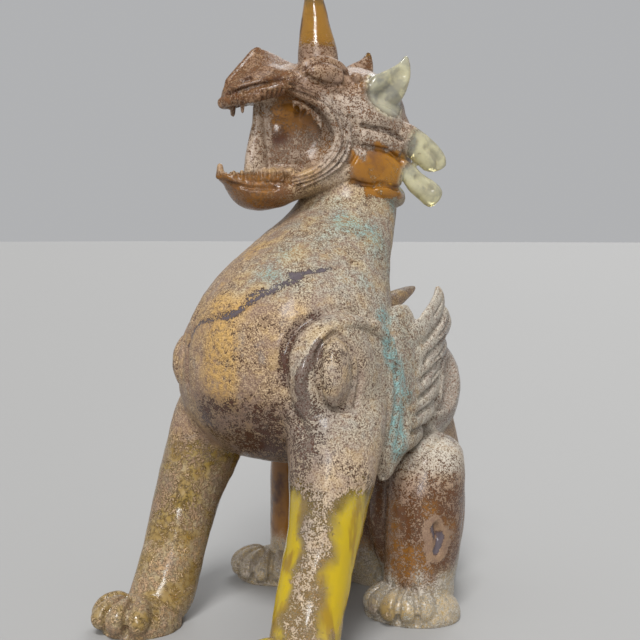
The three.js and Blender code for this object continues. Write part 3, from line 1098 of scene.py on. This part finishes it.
def weather(piece):
    """Gives the skin the shallow lumps of a corroded surface."""
    points = points_of(piece)
    height = sum(depth * soft_noise(points, size, 3 + i) for i, (size, depth) in enumerate(LUMPS))
    move_points(piece, points + normals_of(piece) * height[:, None])


def keep_in_frame(piece):
    """Presses the few points that reach past the solid model's box, or below the floor, back to it."""
    points = np.clip(points_of(piece), *(np.array(c) / MM + DRAWING_MIDDLE for c in (cad_low, cad_high)))
    move_points(piece, points)


weather(lion)
keep_in_frame(lion)
print("lowest point:", round(points_of(lion)[:, 2].min(), 2), "mm")

# %% [markdown]
# ## A lighter mesh
#
# The carving needed a fine, even mesh. Most of it is nearly flat and can do with fewer triangles,
# so a Decimate modifier collapses them there and leaves them small in the detail. It leaves a few
# pinholes, and glass has to be watertight to bend light properly, so those are closed again.

# %% Thin the mesh out where it is flat
FINEST = 192000
CLOSING_PASSES = 4


def select_open_edges():
    """In edit mode, selects only the points where the skin isn't closed."""
    bpy.ops.mesh.select_all(action="DESELECT")
    bpy.ops.mesh.select_non_manifold(extend=False)


def close_pinholes(piece):
    """Thinning leaves a few pinholes: cuts the bad points out and fills the small gaps again."""
    piece.data.validate()
    select_only([piece])
    bpy.ops.object.mode_set(mode="EDIT")
    for _ in range(CLOSING_PASSES):
        select_open_edges()
        bpy.ops.mesh.delete(type="VERT")
        bpy.ops.mesh.select_all(action="SELECT")
        bpy.ops.mesh.delete_loose(use_verts=True, use_edges=True, use_faces=False)
        select_open_edges()
        bpy.ops.mesh.fill_holes(sides=0)
    bpy.ops.mesh.select_all(action="SELECT")
    bpy.ops.mesh.quads_convert_to_tris()
    bpy.ops.mesh.normals_make_consistent(inside=False)
    bpy.ops.object.mode_set(mode="OBJECT")


faces_now = sum(len(p.vertices) - 2 for p in lion.data.polygons)
thinning = min(1.0, FINEST / faces_now)
apply_modifier(lion, "DECIMATE", ratio=thinning, use_collapse_triangulate=True)
close_pinholes(lion)
keep_in_frame(lion)
bpy.ops.object.shade_smooth()
print("skin:", faces_now, "triangles before,", len(lion.data.polygons), "after")

# %% [markdown]
# ## Where the crust lies
#
# Burial crust is thick on the body, thin in the grooves and gone from the horn, the left ear, the
# curls and parts of the legs, where the bare glass glows. A painter would brush these places on by
# hand. Here each place is a zone round a point or a line, stored on the mesh as an attribute
# between 0 and 1. The material later breaks its edges up into grains.


# %% Painting zones
skin_points = points_of(lion)
skin_normals = normals_of(lion)


def round_zone(centre, radius, soft=4.0):
    """1 inside a ball round the point, fading out over the soft distance."""
    gap = np.linalg.norm(skin_points - np.asarray(centre, float), axis=1)
    return 1 - soft_step(gap, radius - soft / 2, radius + soft / 2)


def line_zone(knots, half, soft=2.0, ragged=0.0):
    """1 within that half width of a line dropped on the skin, fading out over the soft distance."""
    gap = distance_to(skin_points, dropped_path(lion, knots), half + soft + ragged)
    return 1 - soft_step(gap + ragged * ragged_edge, half, half + soft)


def band(values, low, high, soft):
    """1 between two values, fading out beyond them."""
    return soft_step(values, low - soft, low) * (1 - soft_step(values, high, high + soft))


def lay(field, zone, amount):
    """Moves a painted field towards an amount where the zone is strong."""
    return field + (amount - field) * zone


def strongest(*fields):
    """The largest of several painted fields at every point."""
    return np.maximum.reduce(fields)


def store(name, values):
    """Keeps a painted field on the mesh, one number for each point."""
    layer = lion.data.attributes.new(name, "FLOAT", "POINT")
    layer.data.foreach_set("value", np.clip(values, 0, 1).astype(np.float32))
    print(f"{name}: mean {values.mean():.2f}")


ragged_edge = 0.7 * soft_noise(skin_points, 7.0, 11) + 0.5 * soft_noise(skin_points, 3.0, 12)
x, y, z = skin_points.T
ahead_of_head = -(x - HEAD_X) * math.sin(HEAD_TURN) - (y - HEAD_Y) * math.cos(HEAD_TURN)
left_of_head = (x - HEAD_X) * math.cos(HEAD_TURN) - (y - HEAD_Y) * math.sin(HEAD_TURN)
print("painting", len(x), "points")

# %% Places on the figure
VIEW_TURN = math.radians(36.7)
worn_z = z + 7 * ragged_edge
front_side = np.array([math.sin(VIEW_TURN), -math.cos(VIEW_TURN), 0])
faces_front = soft_step(skin_normals @ front_side, -0.3, 0.3)
near_front_leg = band(x, 26, 60, 2) * band(y, -80, -12, 6) * (1 - soft_step(worn_z, 56, 74))
near_front_leg = near_front_leg * (0.3 + 0.7 * soft_step(faces_front + 0.35 * ragged_edge, 0.1, 0.8))
far_front_leg = band(x, -60, -20, 2) * band(y, -80, 2, 6) * (1 - soft_step(z, 62, 84))
hind_legs = band(y, 10, 90, 6) * (1 - soft_step(z, 52, 74))
belly = band(z, 40, 88, 9) * band(y, -60, -22, 6) * band(np.abs(x - 14), 0, 26, 8)
strip_line = [(49, -44.5, 68), (48.5, -51, 48), (48, -56.5, 30), (47, -61, 20)]
leg_front_strip = line_zone(strip_line, 2.0, 7, 4.0)
mouth_inside = round_zone(head_point(29, 0, 190), 16, 6)
mouth_top = mouth_inside * soft_step(z, 188, 197)
snout = soft_step(ahead_of_head, 26, 36) * soft_step(z, 200, 204)
chin = band(z, 158, 174, 3) * soft_step(ahead_of_head, 22, 36)
tongue_zone = band(ahead_of_head, 36, 46, 1.5) * band(z, 176, 204, 2) * band(np.abs(left_of_head), 0, 7, 2)
# Painted shade: the mouth wall in the recess just behind the tongue is darkened and its crust thinned.
shade_behind_tongue = round_zone(head_point(33, 4, 191), 5, 6) * (1 - tongue_zone)
collar_roll = band(worn_z, 168, 182, 3) * band(ahead_of_head, -40, 6, 4)
head_zone = soft_step(z, 172, 182)
feet = 1 - soft_step(worn_z, 12, 22)
haunch = band(worn_z, 76, 110, 8) * band(y + 7 * ragged_edge, 48, 86, 8) * soft_step(x, 20, 28)
far_hind_leg = band(worn_z, 18, 80, 8) * soft_step(y, 20, 30) * (1 - soft_step(x, -6, 2)) * faces_front
wing_plate = band(z, 60, 128, 4) * band(y, 4, 70, 6) * soft_step(np.abs(x - BODY_X), 32, 36)
ring_crest = line_zone([(33, -37, 90), (33, -38, 102), (34.5, -32, 112)], 1.5, 1.8, 0.8)
outer_groove = line_zone(COMMA_GROOVE[2:6], 1.8, 2.4, 1.0)
disc_face = round_zone((46, -27, 102), 13, 5)
crack_bed = strongest(line_zone(CRACK[:8], 0.7, 1.3, 0.8), line_zone(CRACK[4:7], 2.0, 2.2, 2.0))
near_ear = line_zone(on_head([(-10, 18, 208), (-17, 17, 222)]), 8, 5)
print(f"near front leg: {near_front_leg.mean():.1%} of the points")

# %% Cover of the crust, from the broad places to the small ones
crust = np.full(len(x), 0.84)
for zone, amount in (
    (head_zone, 0.58),
    (snout, 0.50),
    (belly, 0.53),
    (near_front_leg, 0.10),
    (near_front_leg * leg_front_strip, 0.55),
    (near_front_leg * band(z, 66, 90, 8), 0.85),
    (far_front_leg, 0.46),
    (hind_legs, 0.56),
    (hind_legs * band(z, 24, 46, 10), 0.45),
    (feet, 0.46),
    (haunch, 0.40),
    (far_hind_leg, 0.16),
    (crack_bed, 0.38),
    (outer_groove, 0.5),
    (ring_crest, 0.25),
    (disc_face, 0.68),
    (round_zone((42, -27, 108), 3, 6), 0.5),
    (line_zone(SHIN_PIT, 3.4, 1.5), 1.0),
    (line_zone(SHIN_PIT, 0.8, 1.4), 0.1),
    (mouth_inside, 0.53),
    (mouth_top, 0.34),
    (shade_behind_tongue, 0.38),
    (chin, 0.48),
    (tongue_zone, 0.62),
    (collar_roll, 0.26),
    (soft_step(z, 225, 233), 0.06),
    (near_ear, 0.10),
):
    crust = lay(crust, zone, amount)
pale = near_ear
for side in (1, -1):
    upper_end = line_zone(on_head([(-25, 17, 187), (-35, 17, 178)], side), 6, 5)
    lower_end = line_zone(on_head([(-22, 16, 172), (-35, 16, 166)], side), 6, 4)
    crust = lay(crust, upper_end, 0.24)
    crust = lay(crust, lower_end, 0.10)
    pale = strongest(pale, upper_end, lower_end)
store("crust", crust)
store("clear", strongest(soft_step(z, 222, 230), 0.95 * near_front_leg, 0.5 * far_front_leg, pale))
store("pale", pale)
# Golden marks the golden glass of the front legs, and the painted glow of bright yellow film laid on the near
# one.
golden = near_front_leg * (1 - soft_step(worn_z, 56, 66)) * (1 - 0.75 * leg_front_strip)
store("golden", strongest(golden, 0.2 * far_front_leg))

# %% [markdown]
# ## Stains
#
# Copper in the soil left blue-green on the neck and along the wing, and iron left ochre on the chest.
# The grooves, the gaps between feathers and toes and some hollows are darkened with painted shade.
# Each stain or darkening is one more painted field. Where several strokes of a stain meet, the
# strongest one is kept, as overlapping brush strokes of one thin colour would look.

# %% Verdigris, ochre and slate
wing_line = [(39.5, 5, 120), (44.7, 3.1, 109.8), (45.1, 7.8, 96.3), (45.5, 5.8, 78), (44, 8, 68)]
neck_streaks = np.clip(soft_noise(skin_points, 9.0, 21) + 0.3, 0, 1)
neck = band(z, 132, 164, 8) * soft_step(x, -14, 10)
verdigris = strongest(
    line_zone(wing_line, 2.5, 10, 4.5),
    neck * (0.45 + 0.4 * neck_streaks),
    0.6 * round_zone((52, 8, 7), 8, 10) * soft_step(neck_streaks, 0.1, 0.5),
    0.6 * wing_plate,
    0.4 * band(z, 82, 140, 10) * soft_step(x, 20, 40) * band(y, -40, 70, 8),
    0.55 * hind_legs * feet * soft_step(x, 4, 12),
)
store("verdigris", verdigris * (1 - 0.8 * disc_face))
gold_spots = soft_step(soft_noise(skin_points, 6.0, 22), 0.25, 0.6)
ochre = strongest(
    0.65 * line_zone([(-3, -38, 122), (-1, -40, 110), (0, -43, 98)], 4, 9, 3.0),
    0.7 * line_zone([(5, -37, 126), (10, -32, 133)], 1.0, 5, 3.0),
    0.3 * round_zone((-10, -36, 118), 10, 14),
    0.6 * line_zone([(35, -32, 114), (38.5, -26, 117)], 2.0, 3, 2.0),
    0.5 * disc_face * gold_spots,
    0.6 * band(z, 124, 164, 8) * gold_spots,
    0.2 * near_front_leg,
    0.15 * far_front_leg,
    0.25 * band(z, 163, 178, 4) * band(ahead_of_head, -40, 60, 4),
)
store("ochre", ochre)
# Slate is the bare glass of the crack, and painted shade in the middle of the shin pit.
store("slate", strongest(crack_bed, line_zone(SHIN_PIT, 1.0, 1.2)))

# %% Dark of the grooves and hollows, partly painted shade
dark = strongest(
    0.3 * crack_bed,
    0.45 * far_front_leg * band(z, 38, 80, 10),
    # Painted shade in the recess behind the tongue.
    shade_behind_tongue,
    0.7 * band(z, 244, 246.5, 1.5),
    0.9 * outer_groove,
    0.95 * ring_crest,
    # Painted shade along the disc groove and the groove on the far shoulder.
    0.7 * line_zone(DISC_GROOVE, 0.6, 1.2),
    0.7 * line_zone(FAR_GROOVE, 1.0, 3, 1.5),
    0.8 * belly,
    0.6 * far_hind_leg,
    0.6 * haunch,
    # Painted shade on the lower hind legs.
    0.4 * hind_legs * band(z, 18, 50, 10),
    0.8 * line_zone(CRACK[:4], 0.3, 1.2, 1.0),
)
# Painted shade: a thin dark line along the middle of every groove cut into the head.
for knots, width, height in head_strokes:
    if height < 0:
        dark = strongest(dark, 0.6 * line_zone(knots, 0.3 * width, 0.6 * width))
# Painted shade in the gaps between the feathers.
for side in (1, -1):
    for gap_line in feather_gaps(side, (0.35, 0.6, 0.85)):
        dark = strongest(dark, 0.8 * line_zone(gap_line, 0.4, 1.1))
# Painted shade in the gaps between the toes.
for gap_line in toe_gaps(((0.5, 0, 12), (0.8, 0, 8), (1, 0, 2))):
    dark = strongest(dark, 0.6 * line_zone(gap_line, 0.4, 1.4))
# The dark field holds darker glass, the crack and the horn's band, and painted shade in grooves, gaps and
# hollows.
store("dark", dark)

# %% Umber head, and a painted glow where the amber below shines through
umber = strongest(
    0.9 * head_zone,
    mouth_inside,
    0.8 * hind_legs * (1 - feet),
    0.8 * haunch,
    chin,
)
store("umber", umber)
# Painted glow: an orange film on the collar, the mouth roof, the chin, a few small spots on the head and
# parts of the hind legs stands in for light shining through the amber. The same field also lets a little of
# the glass itself show through.
glow = strongest(
    0.9 * collar_roll * soft_step(left_of_head, 0, 6),
    0.6 * mouth_top,
    0.6 * round_zone(head_point(16, 12, 186), 5, 8),
    0.7 * round_zone(head_point(41, 8, 164), 3, 6),
    0.6 * round_zone(head_point(2, 15, 211), 3, 5),
    0.45 * chin,
    0.5 * hind_legs * band(z, 20, 44, 8) * soft_step(neck_streaks, 0.2, 0.7),
    0.6 * far_hind_leg,
)
store("glow", glow * (1 - line_zone(SHIN_PIT, 2, 2)))
# Darker, warmer crust on the snout, chin and mouth: partly the amber's own colour, partly painted shade on
# the snout.
store("amber", strongest(snout, chin, 0.7 * mouth_inside))
green_gaps = far_front_leg * band(z, 44, 76, 8) * soft_step(soft_noise(skin_points, 11.0, 24), -0.3, 0.2)
store("haze", strongest(far_front_leg - 0.55 * green_gaps, near_front_leg * leg_front_strip, feet))

# %% Chalky grains, partly painted light
cheek = band(ahead_of_head, -16, 18, 5) * band(z, 172, 204, 5) * soft_step(left_of_head, 6, 14)
# Chalky pale grains that also stand in for highlights and fill light: on the cheek, the mouth and tongue, the
# wing, the leg strip, the hind feet, the near shoulder and the tops of the hind legs.
chalk_and_light = strongest(
    0.4 * cheek * (1 - collar_roll),
    0.3 * mouth_inside * (1 - mouth_top) * (1 - shade_behind_tongue),
    0.35 * tongue_zone,
    0.65 * wing_plate * soft_step(y, 14, 30),
    0.4 * near_front_leg * leg_front_strip,
    0.6 * hind_legs * feet,
    0.25 * band(z, 60, 135, 10) * soft_step(x, 18, 36) * band(y, -60, 10, 8),
    0.25 * hind_legs * soft_step(z, 50, 62),
)
store("chalk_and_light", chalk_and_light)

# %% [markdown]
# ## Glass and crust
#
# The material is two finishes on one skin. One is clear glass, tinted amber, golden or nearly
# white at the surface and absorbing more light inside where the body is thick. The other is opaque:
# sandy crust, or the dull film left where the crust has gone, with painted shade, a painted glow and
# painted light laid into its colours. A mask made from the painted cover and three sizes of noise
# decides grain by grain which of the two is seen.


# %% Small helpers for shader nodes
material = bpy.data.materials.new("crusted_glass")
material.use_nodes = True
tree = material.node_tree
tree.nodes.clear()


def node(kind, **values):
    """A new node, with values for its settings by name or for its inputs by socket name."""
    made = tree.nodes.new("ShaderNode" + kind)
    for name, value in values.items():
        if hasattr(made, name):
            setattr(made, name, value)
        else:
            made.inputs[name.replace("_", " ")].default_value = value
    return made


def wire(source, target):
    """Joins an output to an input."""
    tree.links.new(source, target)


def math_of(kind, first, second):
    """A sum, product or other result of two sockets or numbers."""
    made = node("Math", operation=kind)
    for i, term in enumerate((first, second)):
        if isinstance(term, (int, float)):
            made.inputs[i].default_value = term
        else:
            wire(term, made.inputs[i])
    return made.outputs[0]


def times(first, second):
    """The product of two sockets or numbers."""
    return math_of("MULTIPLY", first, second)


def plus(first, second):
    """The sum of two sockets or numbers."""
    return math_of("ADD", first, second)


def minus(first, second):
    """What is left of the first after the second is taken off."""
    return math_of("SUBTRACT", first, second)


coordinates = node("TexCoord")
print("first node:", coordinates.name)


# %% Painted fields, noise and layers of colour
def noise(scale, detail, roughness, place=None):
    """Cloudy noise on the object's own coordinates, scale in waves per metre."""
    made = node("TexNoise", Scale=scale, Detail=detail, Roughness=roughness)
    wire(place or coordinates.outputs["Object"], made.inputs["Vector"])
    return made.outputs["Fac"]


def painted(name):
    """A field painted on the mesh."""
    return node("Attribute", attribute_name=name).outputs["Fac"]


def ramp(value, low, high):
    """0 below the low value, 1 above the high one."""
    made = node("MapRange", interpolation_type="SMOOTHSTEP")
    made.inputs["From Min"].default_value = low
    made.inputs["From Max"].default_value = high
    wire(value, made.inputs["Value"])
    return made.outputs["Result"]


def tinted(colour, over, amount):
    """A colour laid over another one, by that amount. Colours are red, green and blue."""
    made = node("Mix", data_type="RGBA")
    for socket, term in ((made.inputs["Factor"], amount), (made.inputs[6], over), (made.inputs[7], colour)):
        if isinstance(term, tuple):
            socket.default_value = (*term, 1)
        else:
            wire(term, socket)
    return made.outputs[2]


print("painted:", [layer.name for layer in lion.data.attributes if layer.data_type == "FLOAT"])

# %% Grain of the crust
SAND = 1800
CLUSTERS = 480
PATCHES = 100
HUES = 170
sand = noise(SAND, 3, 0.6)
clusters = noise(CLUSTERS, 4, 0.65)
patches = noise(PATCHES, 5, 0.6)
plain = minus(1.0, times(painted("umber"), 0.65))
broken = times(minus(patches, 0.5), plain)
broken = plus(broken, painted("crust"))
broken = plus(broken, minus(clusters, 0.5))
broken = plus(broken, times(minus(sand, 0.5), 1.2))
cover = ramp(broken, 0.46, 0.54)
print("nodes for the cover:", len(tree.nodes))

# %% Colours of the crust
tone = plus(times(sand, 0.75), times(clusters, 0.25))
crust_ramp = node("ValToRGB")
wire(tone, crust_ramp.inputs["Fac"])
CRUST_TONES = (
    (0.37, (0.105, 0.058, 0.036, 1)),
    (0.45, (0.21, 0.13, 0.075, 1)),
    (0.52, (0.35, 0.23, 0.13, 1)),
    (0.60, (0.64, 0.47, 0.29, 1)),
)
stops = crust_ramp.color_ramp.elements
while len(stops) < len(CRUST_TONES):
    stops.new(0.5)
for stop, (place, colour) in zip(stops, CRUST_TONES):
    stop.position = place
    stop.color = colour
crust_colour = crust_ramp.outputs["Color"]
hues = noise(HUES, 3, 0.55)
upright = node("Mapping")
upright.inputs["Scale"].default_value = (1, 1, 0.3)
wire(coordinates.outputs["Object"], upright.inputs["Vector"])
streaks = noise(HUES, 3, 0.55, upright.outputs["Vector"])
stain_grain = plus(times(clusters, 0.6), times(sand, 0.4))
stain_edge = ramp(stain_grain, 0.36, 0.6)
copper_edge = plus(painted("verdigris"), minus(sand, 0.5))
light_grain = ramp(tone, 0.42, 0.58)
grey_copper = tinted((0.50, 0.53, 0.45), (0.10, 0.11, 0.09), light_grain)
blue_copper = tinted((0.15, 0.44, 0.45), (0.045, 0.19, 0.20), light_grain)
copper = tinted(blue_copper, grey_copper, ramp(copper_edge, 0.66, 1.1))
# Darker, warmer crust where the amber field is laid, partly painted shade on the snout.
umber_crust = tinted((0.19, 0.085, 0.03), (0.29, 0.18, 0.115), painted("amber"))
PINK_SAND = (0.27, 0.175, 0.135)
YELLOW_SAND = (0.55, 0.36, 0.15)
GREY_SAND = (0.30, 0.27, 0.24)
OCHRE = (0.66, 0.38, 0.08)
# Crust tint of the dark field: darker glass and crack, and painted shade in grooves, gaps and hollows.
DARK_TINT_AND_SHADE = (0.13, 0.07, 0.05)
for colour, amount in (
    (PINK_SAND, times(ramp(patches, 0.48, 0.58), 0.45)),
    (YELLOW_SAND, times(ramp(hues, 0.52, 0.68), 0.4)),
    (GREY_SAND, times(minus(1.0, ramp(hues, 0.32, 0.46)), 0.35)),
    (OCHRE, times(painted("ochre"), stain_edge)),
    (copper, times(painted("verdigris"), stain_edge)),
    (umber_crust, times(painted("umber"), 0.84)),
    # The dark field brings painted shade into the crust here.
    (DARK_TINT_AND_SHADE, times(painted("dark"), 0.65)),
):
    crust_colour = tinted(colour, crust_colour, amount)
print("nodes with the crust:", len(tree.nodes))

# %% Colours of the bare glass
# Film tint of the dark field, painted shade included.
DARK_FILM_AND_SHADE = (0.062, 0.02, 0.01)
# Slate film tint, which also paints the shade in the shin pit.
SLATE_FILM = (0.10, 0.08, 0.09)
PAINTED_GLOW = (0.44, 0.18, 0.016)
CHALK_AND_LIGHT = (0.66, 0.60, 0.51)
# Painted glow: a bright yellow film on the golden leg stands in for light passing through it.
painted_leg_glow = tinted((1.0, 0.72, 0.01), (0.60, 0.36, 0.02), ramp(streaks, 0.34, 0.50))
haze_colour = tinted((0.40, 0.31, 0.19), (0.30, 0.20, 0.07), ramp(patches, 0.40, 0.60))
milk = tinted((0.76, 0.72, 0.50), (0.40, 0.39, 0.32), ramp(hues, 0.38, 0.60))
# Edge of the painted glow, broken up by noise.
glow_edge = times(painted("glow"), ramp(patches, 0.3, 0.55))
film_colour = tinted((0.17, 0.073, 0.026), (0.10, 0.048, 0.024), painted("umber"))
for colour, amount in (
    # The dark field brings painted shade into the film as well.
    (DARK_FILM_AND_SHADE, painted("dark")),
    (SLATE_FILM, painted("slate")),
    (painted_leg_glow, painted("golden")),
    (haze_colour, painted("haze")),
    # The painted glow is laid into the film here.
    (PAINTED_GLOW, glow_edge),
    (milk, painted("pale")),
):
    film_colour = tinted(colour, film_colour, amount)
skin_colour = tinted(crust_colour, film_colour, cover)
# Pale chalky grains, partly painted light.
chalk_and_light_grains = times(painted("chalk_and_light"), ramp(tone, 0.38, 0.56))
skin_colour = tinted(CHALK_AND_LIGHT, skin_colour, chalk_and_light_grains)
glass_colour = tinted((1.0, 0.80, 0.02), (0.62, 0.33, 0.07), painted("golden"))
glass_colour = tinted((0.90, 0.87, 0.64), glass_colour, painted("pale"))
# The dark field, painted shade included, also tints the glass.
glass_colour = tinted((0.25, 0.17, 0.08), glass_colour, painted("dark"))
print("nodes with the glass:", len(tree.nodes))

# %% Opaque skin
crust_height = times(plus(sand, times(clusters, 1.5)), plain)
skin_bump = node("Bump", Strength=1.0, Distance=0.0006)
wire(times(plus(crust_height, plain), cover), skin_bump.inputs["Height"])
skin_shader = node("BsdfPrincipled", Specular_IOR_Level=0.32, Coat_Weight=0.2, Coat_Roughness=0.22)
wire(skin_colour, skin_shader.inputs["Base Color"])
roughness = plus(times(times(cover, plain), 0.3), 0.26)
roughness = minus(roughness, times(painted("dark"), 0.1))
wire(roughness, skin_shader.inputs["Roughness"])
wire(skin_bump.outputs["Normal"], skin_shader.inputs["Normal"])
print("skin gloss at", skin_shader.inputs["Specular IOR Level"].default_value)

# %% Clear glass
glass_bump = node("Bump", Strength=0.2, Distance=0.0004)
wire(clusters, glass_bump.inputs["Height"])
glass_shader = node("BsdfPrincipled", IOR=1.5)
glass_shader.inputs["Transmission Weight"].default_value = 0.9
wire(glass_colour, glass_shader.inputs["Base Color"])
glass_roughness = plus(times(ramp(clusters, 0.3, 0.75), 0.12), 0.06)
wire(glass_roughness, glass_shader.inputs["Roughness"])
wire(glass_bump.outputs["Normal"], glass_shader.inputs["Normal"])
print("glass bends light by", glass_shader.inputs["IOR"].default_value)

# %% The mask between skin and glass
clear_edge = ramp(plus(painted("clear"), minus(clusters, 0.5)), 0.4, 0.6)
# Pale curls, the golden leg and hazy places are partly opaque; on the golden leg this shows the painted glow.
milk_haze_and_glow = times(painted("pale"), 0.42)
milk_haze_and_glow = plus(milk_haze_and_glow, times(painted("golden"), 0.42))
milk_haze_and_glow = plus(milk_haze_and_glow, times(painted("haze"), 0.25))
seen_through = times(clear_edge, minus(1.0, milk_haze_and_glow))
seen_through = math_of("MAXIMUM", seen_through, times(glow_edge, 0.35))
opaque = math_of("MAXIMUM", cover, minus(1.0, seen_through))
both = node("MixShader")
wire(opaque, both.inputs["Fac"])
wire(glass_shader.outputs["BSDF"], both.inputs[1])
wire(skin_shader.outputs["BSDF"], both.inputs[2])
amber = node("VolumeAbsorption", Density=60)
amber.inputs["Color"].default_value = (0.985, 0.86, 0.02, 1)
result = node("OutputMaterial")
wire(both.outputs["Shader"], result.inputs["Surface"])
wire(amber.outputs["Volume"], result.inputs["Volume"])
lion.data.materials.clear()
lion.data.materials.append(material)
print("material nodes:", len(tree.nodes))

# %% [markdown]
# ## Place in the frame
#
# The finished skin stands where the solid model stands, so it only has to be told three things:
# which body it moves with, which solid it replaces and which material slot it fills.

# %% Tie the skin to the frame
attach(lion, "root")
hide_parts("guardian_lion")
print("slots:", [slot.name for slot in lion.material_slots])

# %% [markdown]
# ## Studio
#
# A pale table, three wide soft lights and a pale room. Glass needs something bright behind it to
# glow, so one light comes from behind the figure.

# %% Floor
bpy.ops.object.select_all(action="DESELECT")
bpy.ops.mesh.primitive_plane_add(size=60, location=(0, 0, 0))
floor = bpy.context.active_object
floor.name = "studio_floor"
paper = bpy.data.materials.new("pale_paper")
paper.use_nodes = True
paper.node_tree.nodes["Principled BSDF"].inputs["Base Color"].default_value = (0.36, 0.357, 0.35, 1)
paper.node_tree.nodes["Principled BSDF"].inputs["Roughness"].default_value = 0.6
floor.data.materials.append(paper)
print("floor:", floor.name)

# %% Camera
VIEW_DIP = math.radians(4.15)
CAMERA_AT = (0.27476, -0.36648, 0.150)
LENS = 64.3
camera_turn = (math.pi / 2 - VIEW_DIP, 0, VIEW_TURN)
bpy.ops.object.camera_add(location=CAMERA_AT, rotation=camera_turn)
camera = bpy.context.active_object
camera.data.lens = LENS
bpy.context.scene.camera = camera
bpy.context.scene.view_settings.view_transform = "Standard"
print("camera", round(math.hypot(*CAMERA_AT[:2]), 3), "m from the middle of the figure")


# %% Lights
def soft_sun(name, azimuth, height, strength, softness):
    """A wide, even light from that azimuth and height, in degrees."""
    turn = (math.radians(90 - height), 0, math.radians(azimuth))
    bpy.ops.object.light_add(type="SUN", location=(0, 0, 2), rotation=turn)
    lamp = bpy.context.active_object
    lamp.name = name
    lamp.data.energy = strength
    lamp.data.angle = math.radians(softness)


soft_sun("key", azimuth=28, height=56, strength=2.3, softness=16)
soft_sun("fill", azimuth=33, height=26, strength=1.15, softness=14)
soft_sun("back", azimuth=200, height=45, strength=0.7, softness=30)
world = bpy.data.worlds.new("studio")
world.use_nodes = True
world.node_tree.nodes["Background"].inputs["Color"].default_value = (0.97, 0.98, 1.0, 1)
world.node_tree.nodes["Background"].inputs["Strength"].default_value = 0.45
bpy.context.scene.world = world
print("lights:", [lamp.name for lamp in bpy.data.lights])
